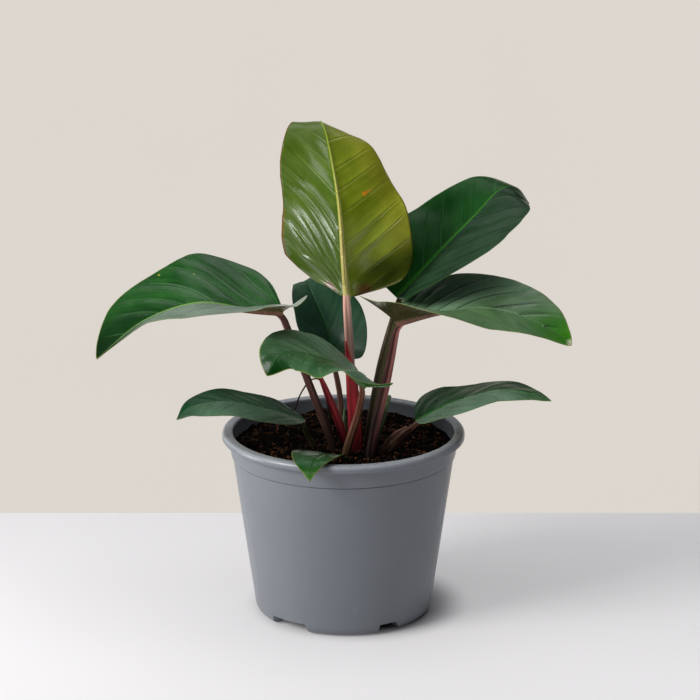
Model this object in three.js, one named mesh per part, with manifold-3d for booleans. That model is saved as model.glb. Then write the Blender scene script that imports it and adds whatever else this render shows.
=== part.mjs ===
// A red congo philodendron in a round grey nursery pot: nine leaves on long stalks that
// rise from a short crown in the soil, with two crimson bud scales between the stalks.
// Millimetres. +Z is up, the origin is the centre of the pot's base, and -Y is the front.
import * as THREE from "three";
import { mergeVertices } from "three/addons/utils/BufferGeometryUtils.js";
import Module from "manifold-3d";

const wasm = await Module();
wasm.setup();

// Pot: an eight inch nursery pot
const POT_HEIGHT = 158.5;
const RIM_RADIUS = 102;
const MOUTH_RADIUS = 93;
const MOUTH_ROUND = 1.5;
const LIP_BOTTOM = 152.7;
const LIP_ROUND = 3;
const LIP_EDGE = 0.8;
const COLLAR_BOTTOM = 137.6;
const COLLAR_PROUD = 1.1;
const COLLAR_EDGE = 1;
const WALL_FOOT_RADIUS = 75.3;
const WALL_FOOT_HEIGHT = 10;
const WALL_SLOPE = 0.1402;
const WALL = 2.4;
const FOOT_RADIUS = 67.3;
const FOOT_WIDTH = 4.3;
const CHANNEL_HEIGHT = 7;
const CHANNEL_INNER_RADIUS = 48;
const CHANNEL_DRAFT = 1;
const BASE_DISC_RADIUS = 45;
const BASE_THICKNESS = 2.6;
const INNER_CORNER = 6;
const ROUND_STEPS = 4;
const POT_SIDES = 48;

// Notches in the foot, as pairs of azimuths from the front that repeat behind, and drain
// holes above the channel
const NOTCHES = [[-62, -23], [24, 42.5]];
const NOTCH_HEIGHT = 6.4;
const NOTCH_FLARE = 2.5;
const NOTCH_INSET = 3;
const NOTCH_OUTSET = 4;
const NOTCH_STEPS = 6;
const DRAIN_HOLES = 6;
const DRAIN_RADIUS = 4.5;
const DRAIN_CIRCLE = 56;
const DRAIN_CUT = 20;
const DRAIN_SIDES = 12;

// Soil: how high it stands, and how far it clears the pot and what stands in it
const SOIL_HEIGHT = 145;
const SOIL_TILT = 0.03;
const SOIL_LUMP = 1;
const SOIL_EDGE = 1.6;
const SOIL_RINGS = 7;
const SOIL_CLEARANCE = 0.6;
const GAP = 0.35;

// Crown: the short buried stem, with its profile as shares of its radius and height
const CROWN = { x: 5, y: -13, radius: 27, top: 130, bottom: 98, sides: 20 };
const CROWN_PROFILE = [[0, 0], [0.5, 0.1], [0.8, 0.45], [1, 0.8], [1, 1], [0, 1]];
const STALK_FOOT = 127;

// Stalks: the sides of their section, the stations along them, and how far below the
// midrib the stalk's line ends, as a share of its width there
const STALK_SIDES = 8;
const ROOT_SIDES = 6;
const STEPS_PER_SPAN = 3;
const TOP_BELOW = 0.55;

// Leaves: blade thickness, the midrib's size as a share of the leaf's length and how far it
// tapers, and the pleats between the side veins
const BLADE = 0.7;
const MIDRIB_DEPTH = 0.015;
const MIDRIB_HALF_WIDTH = 0.014;
const MIDRIB_TAPER = 0.8;
const MIDRIB_STATIONS = 80;
const PLEAT = 0.45;

// Side veins: how they lean towards the tip, the share of the edge where the first may
// end, and the rows that fan out over the lobes. The spacings are exponents, and the rows
// close up towards the tip as a cosine does that starts so many rows earlier.
const VEIN_LEAN = 1.35;
const FIRST_VEIN = [0.045, 0.3];
const FIRST_VEIN_STEP = 0.005;
const FAN_SPAN = 0.09;
const FAN_ROWS = 3;
const EDGE_SPACING = 1.15;
const ROOT_SPACING = 1.25;
const EARLIER_ROWS = 3;
const LOBE_SPAN = 0.45;
const LOBE_ROUND = 1.3;
const LOBE_LIFT = 1.5;

// Each blade follows its midrib, given as points from the stalk to the tip. Pairs of values
// are for the left and the right half, seen from above with the tip ahead. half is the
// half's width, lobe how far its base reaches back past the stalk and rise how far that
// lobe lifts. face is where the upper side looks at the stalk, twist how far that turns
// about the midrib at the stalk and at the tip. fold is the half's angle up from flat, and
// curl its bend from midrib to edge, both at the stalk, halfway and at the tip. shape holds
// two exponents: the first sets where the blade is widest, the second how blunt it is.
// wave is the height, count and start of the waves along the edge.
const STILL = [0, 1, 0];
const FLAT = [0, 0, 0];
const LEAVES = [
  {
    name: "upright",
    midrib: [[3, -14, 276], [0, -20, 311], [-4, -11, 359], [-13, 17, 403], [-19, 45, 412], [-20, 69, 399]],
    half: [66, 64], lobe: [23, 23], rise: [0, 0], face: [-0.25, 1, 0], twist: [18, -17],
    fold: [[27, 17, 9], [65, 48, 1]], curl: [[4, 11, 11], [-28, 4, 3]],
    shape: [0.65, 0.69], wave: [[6, 2.6, -0.2], STILL], rows: 22, columns: 4,
    color: 0x5c6e22,
  },
  {
    name: "rear_right",
    midrib: [[45, 24, 266], [81, 35, 304], [110, 52, 330], [132, 69, 349], [148, 83, 347], [157, 93, 333]],
    half: [58, 60], lobe: [10, 18], rise: [0, 0], face: [-0.44, -0.65, 0.56], twist: [12, -4],
    fold: [[20, -5, -10], [30, 11, -14]], curl: [[10, 0, -12], [10, 12, -3]],
    shape: [0.77, 0.75], wave: [STILL, STILL], rows: 22, columns: 4,
    color: 0x1e5a24,
  },
  {
    name: "right",
    midrib: [[46, -18, 255], [83, -23, 267], [123, -21, 269], [160, -25, 258], [188, -29, 240]],
    half: [55, 55], lobe: [2, 42], rise: [0, 30], face: [0, -0.17, 1], twist: [5, -9],
    fold: [[9, 9, 32], [40, 5, 7]], curl: [FLAT, FLAT],
    shape: [0.68, 0.7], wave: [STILL, STILL], rows: 22, columns: 4,
    color: 0x3b5a3c,
  },
  {
    name: "left",
    midrib: [[-50, -19, 266], [-79, -24, 269], [-119, -33, 277], [-163, -37, 263], [-201, -56, 236]],
    half: [64, 64], lobe: [36, 8], rise: [44, 0], face: [0, 0, 1], twist: [14, -14],
    fold: [[42, 7, 0], [13, 23, 42]], curl: [FLAT, FLAT],
    shape: [0.79, 0.77], wave: [STILL, STILL], rows: 22, columns: 4,
    color: 0x2c6134,
  },
  {
    name: "rear",
    midrib: [[-8, 12, 214], [-13, 22, 237], [-24, 34, 262], [-32, 47, 274], [-38, 59, 265]],
    half: [29, 34], lobe: [16, 16], rise: [0, 0], face: [0.23, -0.87, 0.4], twist: [5, -2],
    fold: [[36, 24, 14], [38, 13, 7]], curl: [FLAT, FLAT],
    shape: [0.79, 0.8], wave: [STILL, STILL], rows: 16, columns: 3,
    color: 0x24453c,
  },
  {
    name: "front",
    midrib: [[18, -54, 212], [-4, -67, 234], [-31, -80, 248], [-51, -95, 251], [-61, -104, 236]],
    half: [41, 43], lobe: [17, 16], rise: [3, 0], face: [-0.08, -0.24, 0.96], twist: [-4, 0],
    fold: [[28, 5, -24], [10, 5, 2]], curl: [[2, -9, -26], FLAT],
    shape: [0.81, 0.8], wave: [[5, 2.5, -0.25], STILL], rows: 20, columns: 4,
    color: 0x2f6a30,
  },
  {
    name: "low_left",
    midrib: [[-32, -17, 171], [-58, -22, 181], [-95, -26, 191], [-124, -33, 189], [-138, -36, 178]],
    half: [29, 28], lobe: [3, 4], rise: [0, 0], face: [0, -0.12, 1], twist: [-12, 12],
    fold: [[0, -2, -18], [8, -2, -2]], curl: [FLAT, FLAT],
    shape: [0.84, 0.88], wave: [STILL, STILL], rows: 16, columns: 3,
    color: 0x27503c,
  },
  {
    name: "low_right",
    midrib: [[60, -18, 171], [89, -17, 186], [128, -14, 197], [156, -25, 197], [172, -32, 193]],
    half: [36, 34], lobe: [5, 0], rise: [0, 0], face: [0, 0.03, 1], twist: [0, 0],
    fold: [[20, 0, -4], [0, -4, -11]], curl: [FLAT, FLAT],
    shape: [0.73, 0.82], wave: [STILL, STILL], rows: 16, columns: 3,
    color: 0x2a6234,
  },
  {
    name: "small_front",
    midrib: [[0, -53, 152], [-15, -75, 160], [-23, -95, 162], [-26, -111, 158], [-27, -117, 151]],
    half: [17, 25], lobe: [0, 3], rise: [0, 0], face: [-0.07, 0, 1], twist: [-4, 3],
    fold: [[5, 8, -2], [3, 8, 0]], curl: [[4, -4, -16], [-2, -7, -15]],
    shape: [0.86, 0.96], wave: [STILL, STILL], rows: 14, columns: 3,
    color: 0x2a6a32,
  },
];

// Each stalk's centre line from the crown up, which ends where its blade starts, and its
// widths along it
const STALKS = [
  {
    leaf: "upright", color: 0xa9705c, width: [8.4, 7.6, 7.6, 6.8],
    points: [[10, -6, STALK_FOOT], [9, -7, 160], [6, -10, 215]],
  },
  {
    leaf: "rear_right", color: 0x5e5a3a, width: [8, 7.6, 7.4, 6.2],
    points: [[21, -9, STALK_FOOT], [22, -8, 158], [32, 2, 215]],
  },
  {
    leaf: "right", color: 0x6a2b32, width: [9, 8.4, 8, 5.6],
    points: [[22, -30, STALK_FOOT], [24, -30, 158], [35, -25, 206]],
  },
  {
    leaf: "left", color: 0x5d4340, width: [8, 7, 6.4, 5.8],
    points: [[-6, -16, STALK_FOOT], [-10, -17, 152], [-29, -20, 206]],
  },
  {
    leaf: "rear", color: 0x5e4a3c, width: [5.6, 5, 4.8, 4.4],
    points: [[-3, 5, STALK_FOOT], [-2, 6, 152], [-3, 8, 185]],
  },
  {
    leaf: "front", color: 0x7b4f45, width: [8, 7.2, 6.2, 5.2],
    points: [[0, -29, STALK_FOOT], [3, -31, 150], [12, -40, 184]],
  },
  {
    leaf: "low_left", color: 0x4f5334, width: [5, 4.6, 4, 3.6],
    points: [[-16, -8, STALK_FOOT], [-25, -11, 147], [-31, -15, 160]],
  },
  {
    leaf: "low_right", color: 0x6a4436, width: [7, 6.6, 5.6, 4.4],
    points: [[26, -15, STALK_FOOT], [38, -15, 143], [49, -16, 157]],
  },
  {
    leaf: "small_front", color: 0x59582f, width: [5, 4.6, 4, 3.4],
    points: [[5, -37, STALK_FOOT], [4, -42, 143], [2, -47, 149]],
  },
];

// Bud scales, stubs, dry sheath and root that stand in the same soil. face is where the
// broad side looks, width and depth are the section's two axes along the piece.
const FORWARD = [0, -1, 0];
const ROOT_WIDTH = [1.8, 1.6, 1.4, 1.4, 1.4, 1.4, 1.4];
const EXTRAS = [
  {
    name: "bud_scale_right", color: 0xa8283c, sides: STALK_SIDES, face: FORWARD,
    points: [[11, -15, STALK_FOOT], [10, -16, 158], [7, -17.5, 205], [2, -20, 241]],
    width: [12, 11.5, 9.5, 1.2], depth: [3.6, 3.4, 3, 1.2],
  },
  {
    name: "bud_scale_left", color: 0xa02a3e, sides: STALK_SIDES, face: FORWARD,
    points: [[2, -9, STALK_FOOT], [0, -9, 155], [-13, -11, 192], [-25, -14, 222]],
    width: [8.6, 7.8, 5.8, 1.2], depth: [6.4, 6, 4.6, 1.2],
  },
  {
    name: "green_stub", color: 0x7d9a62, sides: STALK_SIDES, face: FORWARD,
    points: [[25, -3, STALK_FOOT], [27, -3, 150], [33, -3, 170], [38, -4, 189]],
    width: [5.4, 5.4, 5.2, 4.8], depth: [5, 5, 4.8, 4.4],
  },
  {
    name: "green_bud", color: 0x6f8f62, sides: STALK_SIDES, face: FORWARD,
    points: [[3, -1, STALK_FOOT], [2, -1, 150], [1, 0, 165], [1, 0.5, 177]],
    width: [4.4, 4.4, 3.8, 1.2], depth: [4, 4, 3.4, 1.2],
  },
  {
    name: "dry_sheath", color: 0x7a5a48, sides: STALK_SIDES, face: [0.3, -1, 0.4],
    points: [[27, -21, STALK_FOOT], [35, -21.5, 147], [43, -22, 159], [53, -23, 168]],
    width: [6, 9, 8, 1.6], depth: [1.6, 1.2, 1, 1],
  },
  {
    name: "air_root", color: 0x3a2a22, sides: ROOT_SIDES, face: FORWARD,
    points: [
      [-10, 1, STALK_FOOT], [-11, 2, 160], [-17, 3, 196], [-26, 7, 200],
      [-35, 18, 186], [-41, 30, 167], [-46, 38, 140],
    ],
    width: ROOT_WIDTH, depth: ROOT_WIDTH,
  },
];

// How rough each kind of surface is
const ROUGHNESS = { leaf: 0.35, stalk: 0.45, extra: 0.5, crown: 0.9, soil: 1, pot: 0.4 };

const radians = THREE.MathUtils.degToRad;
const mix = THREE.MathUtils.lerp;
const clamp = THREE.MathUtils.clamp;

// A solid made from vertices and triangles
function solidFrom(vertices, faces) {
  const geometry = new THREE.BufferGeometry();
  const corners = faces.flat().flatMap((k) => vertices[k].toArray());
  geometry.setAttribute("position", new THREE.Float32BufferAttribute(corners, 3));
  return solidOf(geometry);
}

// A solid made from a geometry, with equal vertices shared and empty triangles dropped
function solidOf(geometry) {
  const bare = geometry.index ? geometry.toNonIndexed() : geometry.clone();
  bare.deleteAttribute("normal");
  bare.deleteAttribute("uv");
  const merged = mergeVertices(bare, 1e-3);
  const kept = [];
  for (let i = 0; i < merged.index.count; i += 3) {
    const [a, b, c] = [0, 1, 2].map((k) => merged.index.getX(i + k));
    if (a !== b && b !== c && c !== a) kept.push(a, b, c);
  }
  return new wasm.Manifold(new wasm.Mesh({
    numProp: 3,
    vertProperties: merged.attributes.position.array,
    triVerts: new Uint32Array(kept),
  }));
}

function geometryOf(solid) {
  const mesh = solid.getMesh();
  const geometry = new THREE.BufferGeometry();
  geometry.setAttribute("position", new THREE.BufferAttribute(mesh.vertProperties, 3));
  geometry.setIndex(new THREE.BufferAttribute(mesh.triVerts, 1));
  return geometry;
}

// The largest of a solid's separate bodies
function largestBody(solid) {
  return solid.decompose().reduce((best, body) => (body.volume() > best.volume() ? body : best));
}

function curveThrough(points) {
  const vectors = points.map((point) => new THREE.Vector3(...point));
  return new THREE.CatmullRomCurve3(vectors, false, "catmullrom", 0.5);
}

// A turned solid about Z, from [radius, height] pairs that start and end on the axis
function turned(profile, sides) {
  const points = profile.map(([r, z]) => new THREE.Vector2(r, z));
  const geometry = new THREE.LatheGeometry(points, sides);
  geometry.rotateX(Math.PI / 2);
  return solidOf(geometry);
}

function wallRadius(z) {
  return WALL_FOOT_RADIUS + WALL_SLOPE * (z - WALL_FOOT_HEIGHT);
}

// Points on a quarter round, from one [radius, height] pair to the other
function rounded(from, to, bulgeAtFrom) {
  return Array.from({ length: ROUND_STEPS + 1 }, (_, k) => {
    const a = (k / ROUND_STEPS) * (Math.PI / 2);
    const [u, v] = bulgeAtFrom ? [1 - Math.cos(a), Math.sin(a)] : [Math.sin(a), 1 - Math.cos(a)];
    return [mix(from[0], to[0], u), mix(from[1], to[1], v)];
  });
}

// The inside of the pot, from the axis out and up to the mouth
function innerProfile(clearance) {
  const floor = BASE_THICKNESS + clearance;
  const step = CHANNEL_HEIGHT + BASE_THICKNESS + clearance;
  const corner = step + INNER_CORNER;
  const wall = (z) => wallRadius(z) - WALL - clearance;
  return [
    [0, floor],
    [BASE_DISC_RADIUS - BASE_THICKNESS - clearance, floor],
    [CHANNEL_INNER_RADIUS - BASE_THICKNESS - clearance, step],
    ...rounded([wall(step) - INNER_CORNER, step], [wall(corner), corner], false),
    [wall(COLLAR_BOTTOM), COLLAR_BOTTOM],
  ];
}

function makePot() {
  const collar = (z) => wallRadius(z) + COLLAR_PROUD;
  const footInside = FOOT_RADIUS - FOOT_WIDTH;
  const wallEnd = COLLAR_BOTTOM - COLLAR_EDGE;
  const lipTop = [RIM_RADIUS - LIP_ROUND, POT_HEIGHT];
  const outside = [
    [0, 0],
    [BASE_DISC_RADIUS, 0],
    [CHANNEL_INNER_RADIUS, CHANNEL_HEIGHT],
    [footInside - CHANNEL_DRAFT, CHANNEL_HEIGHT],
    [footInside, 0],
    ...rounded([FOOT_RADIUS, 0], [WALL_FOOT_RADIUS, WALL_FOOT_HEIGHT], false),
    [wallRadius(wallEnd), wallEnd],
    [collar(COLLAR_BOTTOM), COLLAR_BOTTOM],
    [collar(LIP_BOTTOM), LIP_BOTTOM],
    [RIM_RADIUS - LIP_EDGE, LIP_BOTTOM],
    [RIM_RADIUS, LIP_BOTTOM + LIP_EDGE],
    ...rounded([RIM_RADIUS, POT_HEIGHT - LIP_ROUND], lipTop, true),
    [MOUTH_RADIUS + MOUTH_ROUND, POT_HEIGHT],
    [MOUTH_RADIUS, POT_HEIGHT - MOUTH_ROUND],
  ];
  let pot = turned([...outside, ...innerProfile(0).reverse()], POT_SIDES);
  for (const half of [0, 180])
    for (const [from, to] of NOTCHES) pot = pot.subtract(notch(from + half, to + half));
  for (let k = 0; k < DRAIN_HOLES; k += 1) {
    const hole = new THREE.CylinderGeometry(DRAIN_RADIUS, DRAIN_RADIUS, DRAIN_CUT, DRAIN_SIDES);
    hole.rotateX(Math.PI / 2);
    const a = (k / DRAIN_HOLES) * 2 * Math.PI;
    hole.translate(DRAIN_CIRCLE * Math.cos(a), DRAIN_CIRCLE * Math.sin(a), CHANNEL_HEIGHT);
    pot = pot.subtract(solidOf(hole));
  }
  return pot;
}

// The block cut out of the foot between two azimuths, wider at the bottom than at the top
function notch(from, to) {
  const vertices = [];
  const faces = [];
  const flares = [[-1, NOTCH_FLARE], [NOTCH_HEIGHT, 0]];
  const radii = [FOOT_RADIUS - FOOT_WIDTH - NOTCH_INSET, WALL_FOOT_RADIUS + NOTCH_OUTSET];
  for (let k = 0; k <= NOTCH_STEPS; k += 1)
    for (const [z, flare] of flares)
      for (const r of radii) {
        const a = radians(mix(from - flare, to + flare, k / NOTCH_STEPS));
        vertices.push(new THREE.Vector3(r * Math.sin(a), -r * Math.cos(a), z));
      }
  const quad = (a, b, c, d) => faces.push([a, b, c], [a, c, d]);
  for (let k = 0; k < NOTCH_STEPS; k += 1) {
    const i = 4 * k;
    quad(i + 1, i + 5, i + 7, i + 3);
    quad(i + 4, i, i + 2, i + 6);
    quad(i, i + 4, i + 5, i + 1);
    quad(i + 2, i + 3, i + 7, i + 6);
  }
  const last = 4 * NOTCH_STEPS;
  quad(0, 1, 3, 2);
  quad(last, last + 2, last + 3, last + 1);
  return solidFrom(vertices, faces);
}

// The soil's upper surface: a slope up to the back, with lumps
function soilTop(x, y) {
  const wide = Math.sin(0.17 * x + 0.9) * Math.cos(0.19 * y);
  const small = 0.6 * Math.sin(0.31 * y + 0.12 * x + 2);
  return SOIL_HEIGHT + SOIL_TILT * y + SOIL_LUMP * (wide + small);
}

function makeSoil(standing) {
  const sides = POT_SIDES;
  const edge = wallRadius(SOIL_HEIGHT) - WALL - GAP - SOIL_EDGE;
  const bottom = innerProfile(GAP).slice(0, -1).map(([r, z]) => ({ r, z }));
  const top = Array.from({ length: SOIL_RINGS + 1 }, (_, k) => ({ r: edge * (1 - k / SOIL_RINGS) }));
  const profile = [...bottom, ...top];
  const vertices = [];
  const faces = [];
  for (const { r, z } of profile)
    for (let j = 0; j < sides; j += 1) {
      const a = (j / sides) * 2 * Math.PI;
      const [x, y] = [r * Math.cos(a), r * Math.sin(a)];
      vertices.push(new THREE.Vector3(x, y, z ?? soilTop(x, y)));
    }
  for (let i = 0; i + 1 < profile.length; i += 1)
    for (let j = 0; j < sides; j += 1) {
      const next = (j + 1) % sides;
      const [a, b] = [i * sides + j, i * sides + next];
      const [c, d] = [b + sides, a + sides];
      faces.push([a, b, c], [a, c, d]);
    }
  let soil = solidFrom(vertices, faces);
  for (const hole of standing) soil = soil.subtract(hole);
  return largestBody(soil);
}

function makeCrown(clearance) {
  const top = CROWN.top + clearance;
  const bottom = CROWN.bottom - clearance;
  const radius = CROWN.radius + clearance;
  const profile = CROWN_PROFILE.map(([out, height]) => [radius * out, mix(bottom, top, height)]);
  return turned(profile, CROWN.sides).translate([CROWN.x, CROWN.y, 0]);
}

// A solid with an oval section along a curve. width is across the way that face looks.
function sweep({ points, width, depth = width, face = FORWARD, sides = STALK_SIDES }, inflate = 0) {
  const curve = curveThrough(points);
  const spans = points.length - 1;
  const steps = spans * STEPS_PER_SPAN;
  const vertices = [];
  const faces = [];
  const normal = new THREE.Vector3(...face);
  const sizeAt = (sizes, t) => {
    const k = Math.min(Math.floor(t * spans), spans - 1);
    return mix(sizes[k], sizes[k + 1], t * spans - k) / 2 + inflate;
  };
  for (let i = 0; i <= steps; i += 1) {
    const t = i / steps;
    const along = curve.getTangent(t);
    normal.addScaledVector(along, -normal.dot(along)).normalize();
    const across = new THREE.Vector3().crossVectors(along, normal);
    const centre = curve.getPoint(t);
    if (i === 0) centre.addScaledVector(along, -inflate);
    if (i === steps) centre.addScaledVector(along, inflate);
    for (let j = 0; j < sides; j += 1) {
      const a = (j / sides) * 2 * Math.PI;
      vertices.push(centre.clone()
        .addScaledVector(across, sizeAt(width, t) * Math.cos(a))
        .addScaledVector(normal, sizeAt(depth, t) * Math.sin(a)));
    }
  }
  for (let i = 0; i < steps; i += 1)
    for (let j = 0; j < sides; j += 1) {
      const next = (j + 1) % sides;
      const [a, b] = [i * sides + j, i * sides + next];
      faces.push([a, a + sides, b + sides], [a, b + sides, b]);
    }
  for (let j = 1; j + 1 < sides; j += 1) {
    const end = steps * sides;
    faces.push([0, j, j + 1], [end, end + j + 1, end + j]);
  }
  return solidFrom(vertices, faces);
}

// The midrib's frames: how far along each station lies, and its point, direction, upward
// normal and sideways vector, which points to the left half
function midribFrames(leaf) {
  const curve = curveThrough(leaf.midrib);
  const up = new THREE.Vector3(...leaf.face);
  const frames = [];
  let length = 0;
  for (let k = 0; k <= MIDRIB_STATIONS; k += 1) {
    const t = k / MIDRIB_STATIONS;
    const point = curve.getPoint(t);
    const along = curve.getTangent(t);
    up.addScaledVector(along, -up.dot(along)).normalize();
    if (k > 0) length += point.distanceTo(frames[k - 1].point);
    frames.push({ length, point, along, up: up.clone() });
  }
  for (const frame of frames) {
    const turn = radians(mix(...leaf.twist, frame.length / length));
    frame.up.applyAxisAngle(frame.along, -turn);
    frame.left = new THREE.Vector3().crossVectors(frame.up, frame.along);
  }
  return frames;
}

function frameAt(frames, distance) {
  const total = frames[frames.length - 1].length;
  const d = clamp(distance, 0, total);
  let k = 0;
  while (k < frames.length - 2 && frames[k + 1].length < d) k += 1;
  const [a, b] = [frames[k], frames[k + 1]];
  const w = (d - a.length) / (b.length - a.length);
  const between = (key) => a[key].clone().lerp(b[key], w);
  const [along, up, left] = ["along", "up", "left"].map((key) => between(key).normalize());
  const point = between("point").addScaledVector(along, Math.min(distance, 0));
  return { point, along, up, left };
}

// A value that eases between its figures at the stalk, halfway and at the tip
function eased([first, middle, last], t) {
  const ease = THREE.MathUtils.smoothstep;
  return first + (middle - first) * ease(t, 0, 0.5) + (last - middle) * ease(t, 0.5, 1);
}

// The edge of one half: how far along the midrib and how far out it lies at s
function edgeAt(leaf, total, s, side) {
  const k = side > 0 ? 0 : 1;
  const back = leaf.lobe[k] * Math.sin(Math.PI * Math.min(s / LOBE_SPAN, 1)) ** LOBE_ROUND;
  const [widest, blunt] = leaf.shape;
  const out = leaf.half[k] * Math.max(Math.sin(Math.PI * s ** widest), 0) ** blunt;
  return { along: total * s ** EDGE_SPACING - back, out };
}

// Where on the edge the hindmost side vein ends. It is the basal edge of its lobe.
function firstVein(leaf, total, side) {
  let first = { s: 0, reach: Infinity };
  for (let s = FIRST_VEIN[0]; s < FIRST_VEIN[1]; s += FIRST_VEIN_STEP) {
    const { along, out } = edgeAt(leaf, total, s, side);
    const reach = along / out ** VEIN_LEAN;
    if (reach < first.reach) first = { s, reach };
  }
  return first.s;
}

// A point of the blade. s runs along the edge from the lobe to the tip, q along a side vein
// from the midrib to the edge, and root is how far along the midrib that vein starts. lift
// moves the point along the blade's normal.
function bladePoint(leaf, frames, { s, q, side, root, lift }) {
  const k = side > 0 ? 0 : 1;
  const total = frames[frames.length - 1].length;
  const edge = edgeAt(leaf, total, s, side);
  const u = mix(root, edge.along, q ** VEIN_LEAN);
  const v = edge.out * q;
  const frame = frameAt(frames, u);
  const fold = radians(eased(leaf.fold[k], u / total));
  const bend = radians(eased(leaf.curl[k], u / total)) / leaf.half[k] || 1e-6;
  const out = (Math.sin(fold + bend * v) - Math.sin(fold)) / bend;
  const [height, count, start] = leaf.wave[k];
  const wave = height * (v / leaf.half[k]) ** 2 * Math.sin(2 * Math.PI * (count * s + start));
  const lobeLift = leaf.rise[k] * (Math.max(-u, 0) / Math.max(leaf.lobe[k], 1)) ** LOBE_LIFT;
  const raise = (Math.cos(fold) - Math.cos(fold + bend * v)) / bend + wave + lobeLift;
  const lean = q > 0 ? fold + bend * v : 0;
  return frame.point
    .addScaledVector(frame.left, side * (out - lift * Math.sin(lean)))
    .addScaledVector(frame.up, raise + lift * Math.cos(lean));
}

// The side veins of a blade as rows: the first few fan out from the stalk over the lobes,
// and the others start along the midrib
function veinRows(leaf, total) {
  const lobeEnds = [1, -1].map((side) => firstVein(leaf, total, side));
  const fanEnd = Math.max(...lobeEnds) + FAN_SPAN;
  const rows = [];
  for (let i = 0; i < FAN_ROWS; i += 1)
    rows.push({ s: lobeEnds.map((end) => mix(end, fanEnd, i / FAN_ROWS)), root: 0, pleat: 0 });
  const count = leaf.rows - FAN_ROWS;
  const share = (i) => (1 - Math.cos((Math.PI * (i + EARLIER_ROWS)) / (count + EARLIER_ROWS))) / 2;
  for (let i = 0; i <= count; i += 1) {
    const t = (share(i) - share(0)) / (1 - share(0));
    const s = mix(fanEnd, 1, t);
    rows.push({ s: [s, s], root: total * t ** ROOT_SPACING, pleat: i % 2 ? PLEAT : -PLEAT });
  }
  return rows;
}

// One blade: an upper and a lower skin over the same grid, joined round the edge, with the
// midrib standing out below
function makeBlade(leaf) {
  const frames = midribFrames(leaf);
  const total = frames[frames.length - 1].length;
  const rows = veinRows(leaf, total);
  const { columns } = leaf;
  const vertices = [];
  const faces = [];
  const index = (side, skin, i, j) => ((side * 2 + skin) * rows.length + i) * (columns + 1) + j;
  for (const side of [1, -1])
    for (const skin of [1, -1])
      rows.forEach((row, i) => {
        const s = row.s[side > 0 ? 0 : 1];
        const size = total - MIDRIB_TAPER * row.root;
        const beside = Math.min((MIDRIB_HALF_WIDTH * size) / edgeAt(leaf, total, s, side).out, 0.25);
        for (let j = 0; j <= columns; j += 1) {
          const share = j > 0 ? mix(beside, 1, (j - 1) / (columns - 1)) : 0;
          const q = i + 1 < rows.length ? share : 0;
          const rib = skin < 0 && q === 0 ? MIDRIB_DEPTH * size : 0;
          const lift = row.pleat * Math.sin(Math.PI * q) + (skin * BLADE) / 2 - rib;
          vertices.push(bladePoint(leaf, frames, { s, q, side, root: row.root, lift }));
        }
      });
  const quad = ([a, b, c, d], turn) => {
    if (turn) faces.push([a, d, c], [a, c, b]);
    else faces.push([a, b, c], [a, c, d]);
  };
  for (const side of [0, 1]) {
    const width = (row) => edgeAt(leaf, total, row.s[side], side === 0 ? 1 : -1).out;
    for (let i = 0; i + 1 < rows.length; i += 1) {
      const widens = width(rows[i + 1]) > width(rows[i]);
      for (const skin of [0, 1])
        for (let j = 0; j < columns; j += 1) {
          const at = (row, column) => index(side, skin, row, column);
          const cell = [at(i, j), at(i + 1, j), at(i + 1, j + 1), at(i, j + 1)];
          if (widens) cell.unshift(cell.pop());
          quad(cell, side !== skin);
        }
      const at = (skin, row) => index(side, skin, row, columns);
      quad([at(0, i), at(0, i + 1), at(1, i + 1), at(1, i)], side === 1);
    }
    for (let j = 0; j < columns; j += 1) {
      const at = (skin, column) => index(side, skin, 0, column);
      quad([at(0, j), at(0, j + 1), at(1, j + 1), at(1, j)], side === 1);
    }
  }
  return solidFrom(vertices, faces);
}

const plant = new THREE.Group();

function add(name, solid, color, roughness) {
  const material = new THREE.MeshStandardMaterial({ color, roughness, metalness: 0 });
  const mesh = new THREE.Mesh(geometryOf(solid), material);
  mesh.name = name;
  plant.add(mesh);
}

for (const stalk of STALKS) {
  const leaf = LEAVES.find(({ name }) => name === stalk.leaf);
  const { point, up } = midribFrames(leaf)[0];
  const top = point.clone().addScaledVector(up, -TOP_BELOW * stalk.width.at(-1));
  stalk.points.push(top.toArray());
  const blade = makeBlade(leaf).subtract(sweep(stalk, GAP));
  add(`leaf_${leaf.name}`, largestBody(blade), leaf.color, ROUGHNESS.leaf);
  const rod = sweep(stalk).subtract(makeCrown(GAP));
  add(`stalk_${leaf.name}`, largestBody(rod), stalk.color, ROUGHNESS.stalk);
}
for (const extra of EXTRAS) {
  const cut = sweep(extra).subtract(makeCrown(GAP));
  add(extra.name, largestBody(cut), extra.color, ROUGHNESS.extra);
}

const standing = [...STALKS, ...EXTRAS].map((piece) => sweep(piece, SOIL_CLEARANCE));
add("crown", makeCrown(0), 0x5b3a2c, ROUGHNESS.crown);
add("soil", makeSoil([makeCrown(SOIL_CLEARANCE), ...standing]), 0x2a1a12, ROUGHNESS.soil);
add("pot", makePot(), 0x74777c, ROUGHNESS.pot);

export default plant;
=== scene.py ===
import math
import random

import bmesh
import bpy
import numpy as np
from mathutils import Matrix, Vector, noise


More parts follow.
